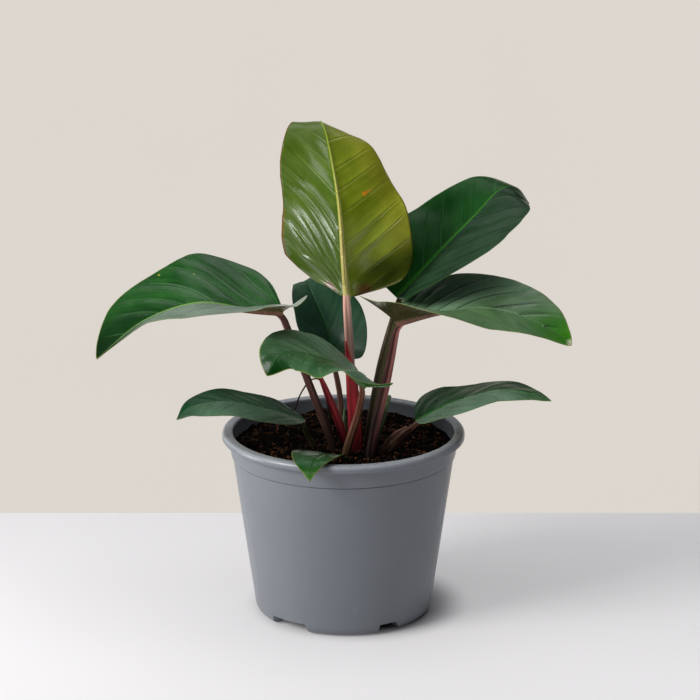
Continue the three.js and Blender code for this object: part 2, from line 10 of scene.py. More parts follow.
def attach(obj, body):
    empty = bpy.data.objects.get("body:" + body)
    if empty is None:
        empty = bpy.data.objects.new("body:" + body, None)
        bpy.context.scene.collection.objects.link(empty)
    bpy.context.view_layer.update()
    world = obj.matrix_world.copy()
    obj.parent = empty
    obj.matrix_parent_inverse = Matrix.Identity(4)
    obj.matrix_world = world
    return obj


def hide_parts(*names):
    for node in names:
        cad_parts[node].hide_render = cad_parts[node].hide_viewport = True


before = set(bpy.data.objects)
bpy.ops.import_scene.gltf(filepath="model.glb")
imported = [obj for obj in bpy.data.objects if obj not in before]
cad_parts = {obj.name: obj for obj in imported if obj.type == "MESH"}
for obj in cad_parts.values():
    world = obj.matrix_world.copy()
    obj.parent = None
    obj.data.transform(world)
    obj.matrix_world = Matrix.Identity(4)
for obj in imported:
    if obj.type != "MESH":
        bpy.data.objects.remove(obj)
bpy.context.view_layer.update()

MM = 0.001
ROOT = "root"

# The photograph's camera: the picture's side and its focal length in pixels, the sensor's width,
# the point it is turned to, its distance from there in metres and how far it looks down
PICTURE_SIDE = 700
FOCAL_PIXELS = 2876.8
SENSOR = 36
AIM = Vector((5.55, 0, 227.6)) * MM
CAMERA_DISTANCE = 2.4
CAMERA_PITCH = math.radians(16.08)

# The room, in metres. The floor ends behind the pot, where the photograph shows its edge. It
# glows evenly, with painted light in front and a painted shadow round the foot of the pot.
FLOOR_BACK = 0.239
FLOOR_REACH = 3.0
FLOOR_GLOW = 0.38
FRONT_GLOW = 0.12
FRONT_SPAN = (0.1, -0.22)
FOOT_SHADE_CENTRE = (0.012, 0.01)
FOOT_SHADE_SPAN = (0.064, 0.1)
# The wall stands far back, to leave room for a view from behind, and is dimmer higher up
WALL_BACK = 6
WALL_SIDES = (-6.4, 4.4)
WALL_HEIGHTS = (-4.7, 3.7)
WALL_DIMMED = (0.6, 1.5)
WALL_GLOW = (1.0, 0.3)
SKY_COLOR = (0.82, 0.88, 1.0, 1)
SKY_STRENGTH = 0.12
# Each light's place, the point it is turned to, its two sides, its watts and its colour
LIGHTS = {
    "key": ((-1.98, -1.19, 1.5), (0, 0, 0.2), (1.1, 1.1), 65, (1, 0.99, 0.98)),
    "bounce": ((-0.54, -0.03, 0.115), (0, 0, 0.66), (0.2, 0.16), 1.3, (1, 1, 1)),
    "overhead": ((0, -0.2, 2.0), (0, 0, 0.1), (1.8, 1.4), 13, (0.98, 0.99, 1)),
    "behind": ((0, 1.14, 1.77), (0, 0, 0.25), (1.7, 0.8), 8.5, (0.98, 0.99, 1)),
}

# Pot
POT_HEIGHT = 158.5
RIM_RADIUS = 102
RIM_ROUND = 2.9
MOUTH_RADIUS = 93
MOUTH_ROUND = 2
LIP_BOTTOM = 152.7
LEDGE_ROUND = 0.7
COLLAR_BOTTOM = 137.6
COLLAR_PROUD = 1.1
WALL_FOOT_RADIUS = 75.3
WALL_FOOT_HEIGHT = 10
WALL_SLOPE = 0.1402
WALL = 2.4
FOOT_RADIUS = 67.3
FOOT_WIDTH = 4.3
CHANNEL_HEIGHT = 7
CHANNEL_INNER_RADIUS = 48
BASE_DISC_RADIUS = 45
BASE_THICKNESS = 2.6
POT_SEGMENTS = 240
# Each notch in the foot, repeated half a turn on: the azimuths of its two ends at the top, in
# degrees from the front, and how many degrees further each end lies at the bottom
NOTCHES = [(-51, -25, 4, 2), (24, 36, 0.8, 5.5)]
NOTCH_HEIGHT = 9.3
NOTCH_STEPS = 16
DRAIN_HOLES = 6
DRAIN_RADIUS = 4.5
DRAIN_CIRCLE = 56

# Soil, what lies on it, and the height that the stalks start from in it
SOIL_HEIGHT = 145
SOIL_TILT = 0.03
SOIL_RINGS = 130
SOIL_SIDES = 380
CRUMBS = 2200
FIBRES = 260
STALK_FOOT = 127

# Leaves: the blade's thickness and what is left of it at the edge, the midrib's depth and half
# width as shares of its length, what they lose up to the tip and gain at the stalk, and the
# groove above it
BLADE = 0.7
EDGE_THIN = 0.55
MIDRIB_DEPTH = 0.015
MIDRIB_HALF_WIDTH = 0.014
MIDRIB_TAPER = 0.88
RIB_FOOT = 0.5
GROOVE = 0.35
# The outline: how it is spaced from the stalk to the tip, and how the lobes behind it are shaped
EDGE_SPACING = 1.15
LOBE_SPAN = 0.45
LOBE_ROUND = 1.3
LOBE_LIFT = 1.5
# Side veins: how they bend near the stalk and beyond, between which places on the edge the first
# one is looked for, where the last one ends, and how softly they draw together at the stalk
VEIN_LEAN = 1.35
VEIN_LEAN_BEYOND = 1.15
FIRST_VEIN = (0.045, 0.3)
FIRST_VEIN_STEP = 0.005
LAST_VEIN = 0.99992
ROOT_SOFTNESS = 0.05
# Uneven swellings over the blade: their height, and how closely they follow each other
RIPPLE = 1.1
RIPPLE_SCALE = 0.045
# How a stalk meets its leaf: its end below the midrib in stalk widths, and where the bend starts
TOP_BELOW = 0.55
NECK_BEND = 6
# The fineness of the leaves' meshes
MIDRIB_STATIONS = 80
ROWS = 150
RIB_COLUMNS = 8
BLADE_COLUMNS = 34

# Each leaf, with its angles in degrees. Its figures are its solid's own, but for some lobes, folds,
# curls, waves and the like, which follow the photograph more closely. Pairs are for the left and
# the right half, seen from the stalk with the upper side up, and three figures in a row are for
# the stalk, halfway and the tip. half is a half's width, lobe how far it reaches back past the
# stalk and rise how far up it goes there. face is which way the upper side looks beside the stalk,
# and twist the turn from there at the stalk and at the tip. fold is the half's slope, curl what is
# added to it at the edge. shape is where the outline is widest and how blunt it is, lean how far
# the side veins point forward, wave the height, number and start of the edge's waves. veins is how
# many side veins a half has, pleat how deep the creases between them are and pleat_fade the share
# of that at the stalk and at the tip.
STILL = (0, 1, 0)
FLAT = (0, 0, 0)
PLAIN_LEAF = {
    "rise": (0, 0), "curl": (FLAT, FLAT), "lean": (1.1, 1.1), "wave": (STILL, STILL),
    "pleat_fade": (1.15, 0.5),
}
LEAVES = {
    "upright": {
        "midrib": [(3, -14, 276), (0, -20, 311), (-4, -11, 359),
                   (-13, 17, 403), (-19, 45, 412), (-20, 69, 399)],
        "half": (66, 64), "lobe": (23, 3), "face": (-0.25, 1, 0), "twist": (18, -17),
        "fold": ((27, 17, 9), (50, 48, 3)), "curl": ((4, 11, 11), (-30, 4, 3)),
        "shape": (0.65, 0.69), "lean": (0.6, 1.7), "wave": ((6, 2.6, -0.2), STILL),
        "veins": 11, "pleat": (0.9, 1.6), "pleat_fade": (1.4, 0),
    },
    "rear_right": {
        "midrib": [(45, 24, 266), (81, 35, 304), (110, 52, 330),
                   (132, 69, 349), (148, 83, 347), (157, 93, 333)],
        "half": (58, 60), "lobe": (18, 18), "face": (-0.44, -0.65, 0.56), "twist": (12, -4),
        "fold": ((20, -5, -10), (30, 11, -14)), "curl": ((10, 0, -12), (10, 12, -3)),
        "shape": (0.77, 0.75), "veins": 10, "pleat": (0.3, 0.8),
    },
    "right": {
        "midrib": [(43.5, -18, 256), (83, -23, 267), (123, -21, 269), (160, -25, 258), (188, -29, 240)],
        "half": (55, 55), "lobe": (8, 40), "rise": (0, 37), "face": (0, -0.17, 1), "twist": (5, -9),
        "fold": ((9, 9, 32), (53, 5, 7)), "curl": (FLAT, (-26, 0, 0)),
        "shape": (0.68, 0.7), "lean": (1.7, 1.1),
        "veins": 9, "pleat": (1.6, 0.5), "pleat_fade": (0.65, 0.95),
    },
    "left": {
        "midrib": [(-50, -19, 266), (-79, -24, 269), (-119, -33, 277), (-163, -37, 263), (-201, -56, 236)],
        "half": (64, 64), "lobe": (36, 8), "rise": (60, 0), "face": (0, 0, 1), "twist": (14, -14),
        "fold": ((42, 7, 0), (13, 23, 42)), "curl": ((-20, 0, 0), FLAT),
        "shape": (0.79, 0.77), "veins": 9, "pleat": (0.4, 1.2),
    },
    "rear": {
        "midrib": [(-8, 12, 214), (-13, 22, 237), (-24, 34, 262), (-32, 47, 274), (-38, 59, 265)],
        "half": (29, 34), "lobe": (16, 16), "face": (0.23, -0.87, 0.4), "twist": (5, -2),
        "fold": ((36, 24, 14), (38, 13, 7)), "curl": ((0, 0, -60), FLAT),
        "shape": (0.74, 0.9), "veins": 8, "pleat": (0.12, 0.12),
    },
    "front": {
        "midrib": [(18, -54, 212), (-4, -67, 234), (-31, -80, 248), (-51, -95, 251), (-61, -104, 236)],
        "half": (41, 43), "lobe": (17, 16), "rise": (3, 0), "face": (-0.08, -0.24, 0.96), "twist": (-4, 0),
        "fold": ((28, 5, -24), (10, 5, 2)), "curl": ((2, -9, -26), FLAT),
        "shape": (0.81, 0.8), "wave": ((6, 3, -0.25), STILL), "veins": 9, "pleat": (0.5, 1.0),
    },
    "low_left": {
        "midrib": [(-32, -17, 171), (-58, -22, 181), (-95, -26, 191), (-124, -33, 189), (-138, -36, 178)],
        "half": (29, 28), "lobe": (3, 4), "face": (0, -0.12, 1), "twist": (-7, 12),
        "fold": ((0, -2, -18), (8, -2, -2)), "shape": (0.84, 0.88), "veins": 8, "pleat": (0.3, 0.6),
    },
    "low_right": {
        "midrib": [(60, -18, 171), (89, -17, 186), (128, -14, 197), (156, -25, 197), (172, -32, 193)],
        "half": (36, 34), "lobe": (5, 0), "face": (0, 0.03, 1), "twist": (0, 0),
        "fold": ((20, 0, -4), (0, -4, -11)), "shape": (0.73, 0.82), "veins": 8, "pleat": (0.5, 0.4),
    },
    "small_front": {
        "midrib": [(0, -53, 152), (-15, -75, 160), (-23, -95, 162), (-26, -111, 158), (-27, -117, 151)],
        "half": (17, 25), "lobe": (0, 3), "face": (-0.07, 0, 1), "twist": (-4, 3),
        "fold": ((5, 8, -2), (3, 8, 0)), "curl": ((4, -4, -16), (-2, -7, -15)),
        "shape": (0.86, 0.96), "veins": 7, "pleat": (0.25, 0.25),
    },
}
LEAVES = {name: {**PLAIN_LEAF, **leaf} for name, leaf in LEAVES.items()}

# Each stalk's points from its foot up, and its width at them and where it meets its leaf
STALKS = {
    "upright": ([(10, -6, STALK_FOOT), (9, -7, 160), (6, -10, 215)], (8.4, 7.6, 7.6, 6.8)),
    "rear_right": ([(21, -9, STALK_FOOT), (22, -8, 158), (32, 2, 215)], (8, 7.6, 7.4, 6.2)),
    "right": ([(22, -30, STALK_FOOT), (24, -30, 158), (35, -25, 206)], (9, 8.4, 8, 5.6)),
    "left": ([(-6, -16, STALK_FOOT), (-10, -17, 152), (-29, -20, 206)], (8, 7, 6.4, 5.8)),
    "rear": ([(-3, 5, STALK_FOOT), (-2, 6, 152), (-3, 8, 185)], (5.6, 5, 4.8, 4.4)),
    "front": ([(0, -29, STALK_FOOT), (3, -31, 150), (12, -40, 184)], (8, 7.2, 6.2, 5.2)),
    "low_left": ([(-16, -8, STALK_FOOT), (-25, -11, 147), (-31, -15, 160)], (5, 4.6, 4, 3.6)),
    "low_right": ([(26, -15, STALK_FOOT), (38, -15, 143), (49, -16, 157)], (7, 6.6, 5.6, 4.4)),
    "small_front": ([(5, -37, STALK_FOOT), (4, -42, 143), (2, -47, 149)], (5, 4.6, 4, 3.4)),
}

# The rest likewise, with each one's width, its depth and the way that the depth is measured
ROOT_WIDTH = (1.8, 1.6, 1.4, 1.4, 1.4, 1.4, 1.4)
FORWARD = (0, -1, 0)
EXTRAS = {
    "bud_scale_right": (
        [(11, -15, STALK_FOOT), (10, -16, 158), (7, -17.5, 205), (2, -20, 241)],
        (12, 11.5, 9.5, 1.2), (3.6, 3.4, 3, 1.2), FORWARD,
    ),
    "bud_scale_left": (
        [(2, -9, STALK_FOOT), (0, -9, 155), (-13, -11, 192), (-25, -14, 222)],
        (8.6, 7.8, 5.8, 1.2), (6.4, 6, 4.6, 1.2), FORWARD,
    ),
    "green_stub": (
        [(25, -3, STALK_FOOT), (27, -3, 150), (33, -3, 170), (38, -4, 189)],
        (5.4, 5.4, 5.2, 4.8), (5, 5, 4.8, 4.4), FORWARD,
    ),
    "green_bud": (
        [(3, -1, STALK_FOOT), (2, -1, 150), (1, 0, 165), (1, 0.5, 177)],
        (4.4, 4.4, 3.8, 1.2), (4, 4, 3.4, 1.2), FORWARD,
    ),
    "dry_sheath": (
        [(27, -21, STALK_FOOT), (35, -21.5, 147), (43, -22, 159), (53, -23, 168)],
        (6, 9, 8, 1.6), (1.6, 1.2, 1, 1), (0.3, -1, 0.4),
    ),
    "air_root": (
        [(-10, 1, STALK_FOOT), (-11, 2, 160), (-17, 3, 196), (-26, 7, 200),
         (-35, 18, 186), (-41, 30, 167), (-46, 38, 140)],
        ROOT_WIDTH, ROOT_WIDTH, FORWARD,
    ),
}


# Numbers and curves

def mix(a, b, t):
    return a + (b - a) * t


def smoothstep(x, low, high):
    t = np.clip((x - low) / (high - low), 0, 1)
    return t * t * (3 - 2 * t)


def eased(values, t):
    """A value that eases between its figures at the stalk, halfway and at the tip."""
    first, middle, last = values
    return first + (middle - first) * smoothstep(t, 0, 0.5) + (last - middle) * smoothstep(t, 0.5, 1)


def unit(vectors):
    return vectors / np.linalg.norm(vectors, axis=-1, keepdims=True)


def curve_at(points, t):
    """Points on the smooth curve through the given points, at shares t of its spans."""
    p = np.array(points, float)
    p = p.reshape(len(p), -1)
    padded = np.vstack([2 * p[0] - p[1], p, 2 * p[-1] - p[-2]])
    place = np.clip(np.atleast_1d(t), 0, 1) * (len(p) - 1)
    k = np.minimum(place.astype(int), len(p) - 2)
    w = (place - k)[:, None]
    before, start, end, after = (padded[k + i] for i in range(4))
    leave = (end - before) / 2
    arrive = (after - start) / 2
    square = -3 * start + 3 * end - 2 * leave - arrive
    cube = 2 * start - 2 * end + leave + arrive
    return start + leave * w + square * w**2 + cube * w**3


def tangent_at(points, t):
    step = 1e-4
    ahead = curve_at(points, np.minimum(t + step, 1))
    return unit(ahead - curve_at(points, np.maximum(t - step, 0)))


def carried(normal, along):
    """One normal for each direction, carried along the curve without needless turning."""
    current = np.array(normal, float)
    out = []
    for direction in along:
        current = current - direction * (current @ direction)
        current = current / np.linalg.norm(current)
        out.append(current)
    return np.array(out)


# Meshes

def make_object(name, vertices, faces, materials, layers=None, face_materials=None):
    """A mesh object from vertices in millimetres. layers are named values, one per vertex."""
    mesh = bpy.data.meshes.new(name)
    if isinstance(faces, np.ndarray):
        faces = faces.tolist()
    mesh.from_pydata((np.asarray(vertices) * MM).tolist(), [], faces)
    for material in materials:
        mesh.materials.append(material)
    for key, values in (layers or {}).items():
        values = np.asarray(values, np.float32)
        kind = "FLOAT_VECTOR" if values.ndim == 2 else "FLOAT"
        layer = mesh.attributes.new(key, kind, "POINT")
        layer.data.foreach_set("vector" if values.ndim == 2 else "value", values.ravel())
    if face_materials is not None:
        mesh.polygons.foreach_set("material_index", np.asarray(face_materials, np.int32))
    mesh.polygons.foreach_set("use_smooth", np.full(len(mesh.polygons), True))
    mesh.validate()
    mesh.update()
    made = bpy.data.objects.new(name, mesh)
    bpy.context.scene.collection.objects.link(made)
    return made


def dress(piece, slot, *nodes):
    """The piece joins the root and stands for those solids, which it hides. slot is not used."""
    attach(piece, ROOT)
    if nodes:
        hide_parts(*nodes)
    return piece


def grid_faces(rows, columns, wrap=False):
    """Quads over a grid of vertices in rows, which a wrapped grid closes round."""
    i, j = np.meshgrid(np.arange(rows - 1), np.arange(columns if wrap else columns - 1), indexing="ij")
    following = (j + 1) % columns
    quads = np.stack([i * columns + j, i * columns + following,
                      (i + 1) * columns + following, (i + 1) * columns + j], axis=-1)
    return quads.reshape(-1, 4)


def apply_modifiers(piece):
    bpy.context.view_layer.update()
    evaluated = piece.evaluated_get(bpy.context.evaluated_depsgraph_get())
    applied = bpy.data.meshes.new_from_object(evaluated)
    old = piece.data
    piece.modifiers.clear()
    piece.data = applied
    bpy.data.meshes.remove(old)


# Material nodes

def srgb(red, green, blue):
    """A linear colour from 0 to 255 figures as a screen shows them."""
    def linear(value):
        value /= 255
        return value / 12.92 if value <= 0.04045 else ((value + 0.055) / 1.055) ** 2.4
    return (linear(red), linear(green), linear(blue), 1)


class Paint:
    """A material's node tree, with short calls for the nodes used here. A colour of three figures
    is a screen's, from 0 to 255."""

    def __init__(self, name, roughness=0.5, specular=0.5):
        self.material = bpy.data.materials.new(name)
        self.material.use_nodes = True
        self.material.diffuse_color = (0.3, 0.3, 0.3, 1)
        self.tree = self.material.node_tree
        self.tree.nodes.clear()
        self.shader = self.tree.nodes.new("ShaderNodeBsdfPrincipled")
        output = self.tree.nodes.new("ShaderNodeOutputMaterial")
        self.tree.links.new(self.shader.outputs[0], output.inputs[0])
        self.shader.inputs["Roughness"].default_value = roughness
        self.shader.inputs["Specular IOR Level"].default_value = specular

    def put(self, value, socket):
        if isinstance(value, bpy.types.NodeSocket):
            self.tree.links.new(value, socket)
        else:
            socket.default_value = value

    def add(self, kind, inputs, **settings):
        """The outputs of a new node with those settings and inputs."""
        node = self.tree.nodes.new("ShaderNode" + kind)
        for key, value in settings.items():
            setattr(node, key, value)
        for key, value in inputs.items():
            self.put(value, node.inputs[key])
        return node.outputs

    def math(self, operation, a, b=0.0):
        return self.add("Math", {0: a, 1: b}, operation=operation)[0]

    def times(self, a, b):
        return self.math("MULTIPLY", a, b)

    def plus(self, a, b):
        return self.math("ADD", a, b)

    def minus(self, a, b):
        return self.math("SUBTRACT", a, b)

    def step(self, value, low, high, start=0.0, end=1.0):
        """start where value is at low, end where it is at high, and a smooth way between."""
        inputs = dict(enumerate((value, low, high, start, end)))
        return self.add("MapRange", inputs, interpolation_type="SMOOTHSTEP")[0]

    def mix(self, share, a, b, mode="MIX"):
        a, b = (srgb(*color) if isinstance(color, tuple) and len(color) == 3 else color for color in (a, b))
        return self.add("Mix", {0: share, 6: a, 7: b}, data_type="RGBA", blend_type=mode)[2]

    def noise(self, scale, detail=3.0, rough=0.5, place=None):
        inputs = {"Vector": place or self.place(), "Scale": scale, "Detail": detail, "Roughness": rough}
        return self.add("TexNoise", inputs)[0]

    def cells(self, scale):
        return self.add("TexVoronoi", {"Vector": self.place(), "Scale": scale})[0]

    def place(self):
        """The point in the object's own frame, in metres."""
        return self.add("TexCoord", {})["Object"]

    def scaled(self, vector, factors):
        return self.add("VectorMath", {0: vector, 1: factors}, operation="MULTIPLY")[0]

    def layer(self, key, output="Fac"):
        """The mesh's own values under that name."""
        return self.add("Attribute", {}, attribute_name=key)[output]

    def parts(self, vector):
        return self.add("SeparateXYZ", {0: vector})

    def joined(self, *values):
        return self.add("CombineXYZ", dict(enumerate(values)))[0]

    def bump(self, height, distance, strength=1.0):
        return self.add("Bump", {"Strength": strength, "Distance": distance, "Height": height})["Normal"]

    def give(self, key, value):
        """Sets or joins the shader's own input of that name."""
        if value is not None:
            self.put(value, self.shader.inputs[key])

    def finish(self, color, roughness=None, normal=None):
        self.give("Base Color", color)
        self.give("Roughness", roughness)
        self.give("Normal", normal)
        return self.material


# Leaf finishes in screen colours. halves are the deep and the lighter green of the left and the
# right half, vein the side veins' tint in each, vein_shade its strength and vein_width how wide it
# is, as a share of the way to the next vein. rib and rib_top are the midrib at the stalk and above,
# margin the edge's line and margin_share its strength. tip_from is where the tip's colour starts
# and rib_fade where the midrib's ends, as shares of the length. rough is the roughness, gloss the
# specular level and relief how far the veins stand up, or down where it is negative. Each band is a
# tint, its width from the edge inward, how far along the leaf it reaches, its half and its strength.
# Each spot is a place, a radius, a tint and a strength. shine is between which heights the polish
# of a young leaf sets in.
PLAIN_LOOK = {
    "gloss": 0.26, "vein_width": 0.05, "margin_share": 0.8, "tip_from": 0.78, "rib_fade": (1.1, 1.0),
    "bands": [], "spots": [],
}
PLAIN_UPPER = {**PLAIN_LOOK, "rough": 0.25, "vein_shade": 0.35, "relief": -1.0}
PLAIN_UNDER = {**PLAIN_LOOK, "rough": 0.24, "vein_shade": 0.3, "relief": 1.3}
UPPER = {
    "upright": {
        "halves": [((36, 74, 20), (54, 92, 26))] * 2, "vein": [(90, 120, 50)] * 2,
        "rib": (140, 160, 70), "margin": (150, 60, 40), "tip": (50, 80, 30),
    },
    "rear_right": {
        "halves": [((16, 58, 18), (26, 72, 26)), ((26, 50, 30), (40, 66, 42))],
        # Painted shade: the second half's dark veins stand for the shade in its creases
        "vein": [(36, 88, 36), (22, 38, 24)], "vein_shade": 0.45, "vein_width": 0.07,
        "rib": (46, 104, 32), "rib_fade": (0.86, 0.8), "margin": (70, 110, 50), "tip": (30, 66, 34),
        "gloss": 0.05,
    },
    "right": {
        "halves": [((66, 94, 60), (86, 116, 80)), ((66, 104, 58), (88, 128, 76))],
        # Painted shade: the first half's dark veins stand for the shade in its creases
        "vein": [(24, 38, 27), (84, 120, 74)], "vein_shade": 0.9, "vein_width": 0.1,
        "rib": (100, 130, 92), "margin": (150, 160, 90), "tip": (60, 132, 24), "tip_from": 0.6,
        # Painted light: the pale band at the base, like the first half's light greens, stands for sheen
        # where the leaves above shade it
        "bands": [((132, 168, 134), 90, 0.5, 0, 0.8)],
        # Painted highlight: the pale cream spot at the tip
        "spots": [((188, -29, 240), 7, (226, 232, 190), 1.0)],
    },
    "left": {
        # Painted sheen: the first half's pale grey-green
        "halves": [((104, 122, 108), (134, 148, 132)), ((16, 58, 18), (38, 88, 34))],
        "vein": [(84, 128, 84), (74, 120, 66)], "rib": (110, 150, 70),
        "margin": (110, 120, 60), "tip": (12, 38, 14), "tip_from": 0.5, "gloss": 0.15,
        "spots": [((-153.4, 10.9, 289.4), 1.6, (170, 160, 60), 0.8),
                  ((-123.7, 1.5, 292.7), 1.2, (150, 160, 60), 0.7)],
    },
    "rear": {
        "halves": [((34, 62, 46), (50, 82, 60))] * 2, "vein": [(44, 80, 58)] * 2, "vein_shade": 0.2,
        "rib": (44, 92, 48), "margin": (40, 76, 50), "tip": (38, 64, 50), "gloss": 0.08, "relief": -0.2,
    },
    "front": {
        "halves": [((44, 88, 44), (68, 112, 66)), ((64, 102, 66), (90, 126, 90))],
        # Painted shade: the second half's dark veins stand for the shade in its creases
        "vein": [(84, 128, 76), (34, 62, 34)], "rib": (54, 104, 50),
        "margin": (150, 160, 70), "margin_share": 0.5, "tip": (8, 46, 8), "tip_from": 0.55, "gloss": 0.15,
        # Painted sheen: the pale bands at the base of both halves
        "bands": [((112, 142, 116), 60, 0.4, half, 0.7) for half in (0, 1)],
    },
    "low_left": {
        "halves": [((66, 98, 74), (92, 124, 96)), ((24, 66, 40), (44, 92, 58))],
        "vein": [(60, 100, 68)] * 2, "vein_shade": 0.12, "rib": (70, 100, 72),
        "margin": (90, 96, 62), "tip": (20, 60, 32), "gloss": 0.06,
        # Painted shade: the dark band darkens the blade near the stalk
        "bands": [((30, 44, 34), 60, 0.35, half, 0.6) for half in (0, 1)],
    },
    "low_right": {
        # Painted sheen: the second half's pale greens
        "halves": [((10, 46, 16), (26, 78, 32)), ((76, 112, 84), (112, 146, 118))],
        "vein": [(60, 110, 62)] * 2, "rib": (70, 124, 62),
        "margin": (110, 130, 60), "tip": (20, 92, 14), "tip_from": 0.6, "gloss": 0.14,
    },
    "small_front": {
        "halves": [((18, 62, 24), (32, 84, 34))] * 2, "vein": [(50, 100, 46)] * 2,
        "rib": (60, 110, 48), "margin": (160, 150, 66), "margin_share": 0.35, "tip": (54, 100, 30),
    },
}
OLIVE_UNDER = {
    "halves": [((66, 68, 38), (88, 86, 50))] * 2, "vein": [(110, 108, 66)] * 2,
    "rib": (130, 90, 70), "margin": (120, 90, 60), "tip": (60, 84, 40),
}
UNDER = {
    "upright": {
        # Painted light: the first half's bright yellow-olive stands for light shining through the leaf
        "halves": [((118, 136, 22), (152, 164, 46)), ((60, 84, 18), (80, 102, 34))],
        "vein": [(140, 160, 80), (128, 152, 66)], "rib": (196, 184, 104), "rib_top": (120, 138, 44),
        "margin": (110, 56, 26), "tip": (88, 104, 50), "tip_from": 0.55, "shine": (354, 330),
        "bands": [((150, 66, 36), 3, 0.16, 0, 1.0), ((150, 66, 36), 3.5, 0.16, 1, 1.0),
                  ((160, 142, 34), 30, 1.6, 0, 0.3)],
        "spots": [((17, 3, 360.4), 2.8, (226, 146, 30), 0.9), ((19, 5.2, 361.2), 2.4, (214, 126, 30), 0.8),
                  ((21, 7.4, 361.8), 2.2, (206, 136, 44), 0.7), ((23, 9.6, 362.4), 2, (196, 140, 50), 0.6),
                  ((30, -4, 292), 26, (78, 80, 4), 0.6),
                  ((-10, 0, 281), 10, (104, 52, 32), 0.8), ((17, -8, 281), 10, (118, 52, 36), 0.8)],
    },
    "front": {
        "halves": [((44, 92, 40), (70, 116, 60))] * 2, "vein": [(80, 128, 74)] * 2,
        "rib": (90, 120, 70), "margin": (170, 180, 80), "tip": (60, 110, 40),
    },
    "rear_right": {
        "halves": [((40, 68, 44), (58, 86, 58))] * 2, "vein": [(60, 90, 60)] * 2,
        "rib": (80, 110, 70), "margin": (80, 110, 70), "tip": (46, 76, 48),
    },
    # Painted sheen: the pale margin and the pale band along the lobe
    "left": {**OLIVE_UNDER, "margin": (170, 176, 150), "bands": [((120, 142, 116), 9, 0.22, 0, 1.0)]},
}


def half_greens(paint, look, middle, phase, right_half):
    """Each half's two greens, in soft patches and in streaks that run with the side veins."""
    streak_place = paint.joined(paint.times(phase, 4.0), paint.times(middle, 0.04), 0.0)
    patches = paint.times(paint.noise(38, 3, 0.5), 0.6)
    streaks = paint.times(paint.noise(1, 2, 0.5, place=streak_place), 0.4)
    share = paint.step(paint.plus(patches, streaks), 0.32, 0.68)
    left, right = (paint.mix(share, deep, light) for deep, light in look["halves"])
    return paint.mix(right_half, left, right)


def add_spot(paint, color, centre, radius, tint, strength):
    """The colour with a soft round spot of the tint in it."""
    centre = [value * MM for value in centre]
    away = paint.add("VectorMath", {0: paint.place(), 1: centre}, operation="DISTANCE")["Value"]
    spot = paint.step(away, radius * MM, 0.3 * radius * MM, 0.0, strength)
    return paint.mix(spot, color, tint)


def leaf_relief(paint, look, phase, from_vein, faded):
    """The side veins' relief, with finer veins between them and a fine grain."""
    fine = paint.math("PINGPONG", paint.times(phase, 6.0), 0.5)
    grain = paint.times(paint.noise(700, 2), 0.25)
    relief = paint.plus(paint.times(fine, 0.15), grain)
    ridge = paint.times(paint.step(from_vein, 0.08, 0.0), faded)
    relief = paint.plus(relief, paint.times(ridge, look["relief"]))
    return paint.bump(relief, 0.0004, 0.8)


def leaf_paint(name, look):
    """The finish of one side of a leaf. The blade's layers say how far a point is from the middle
    and the margin in millimetres, where it is between side veins, and how far along."""
    paint = Paint(name, specular=look["gloss"])
    middle, margin, phase = paint.parts(paint.layer("blade", "Vector"))
    along = paint.layer("along")
    right_half = paint.step(middle, 0.3, -0.3)
    left_half = paint.minus(1.0, right_half)
    color = half_greens(paint, look, middle, phase, right_half)
    color = paint.mix(paint.step(along, look["tip_from"], 1.02), color, look["tip"])
    for tint, width, reach, half, strength in look["bands"]:
        band = paint.times(paint.step(margin, width, 0.2 * width),
                          paint.step(along, reach, 0.4 * reach, 0.0, strength))
        band = paint.times(band, (left_half, right_half)[half])
        color = paint.mix(band, color, tint)
    from_vein = paint.math("PINGPONG", phase, 0.5)
    faded = paint.step(margin, 0.5, 12.0)
    vein = paint.times(paint.step(from_vein, look["vein_width"], 0.0), faded)
    vein_color = paint.mix(right_half, *look["vein"])
    color = paint.mix(paint.times(vein, look["vein_shade"]), color, vein_color)
    for spot in look["spots"]:
        color = add_spot(paint, color, *spot)
    rib_width = paint.math("MAXIMUM", paint.layer("rib"), 0.2)
    from_rib = paint.math("DIVIDE", paint.math("ABSOLUTE", middle), rib_width)
    rib = paint.times(paint.step(from_rib, 1.05, 0.7), paint.step(along, *look["rib_fade"]))
    rib_top = look.get("rib_top", look["rib"])
    rib_color = paint.mix(paint.step(along, 0.15, 0.75), look["rib"], rib_top)
    color = paint.mix(rib, color, rib_color)
    line = paint.step(margin, 0.55, 0.2, 0.0, look["margin_share"])
    color = paint.mix(line, color, look["margin"])
    roughness = paint.step(paint.noise(45, 3), 0.3, 0.7, look["rough"] - 0.05, look["rough"] + 0.07)
    if "shine" in look:
        height = paint.parts(paint.place())[2]
        polished = paint.step(height, *(limit * MM for limit in look["shine"]))
        paint.give("Specular IOR Level", paint.step(polished, 0.0, 1.0, 0.1, 0.65))
        roughness = paint.minus(roughness, paint.times(polished, 0.06))
    return paint.finish(color, roughness, leaf_relief(paint, look, phase, from_vein, faded))


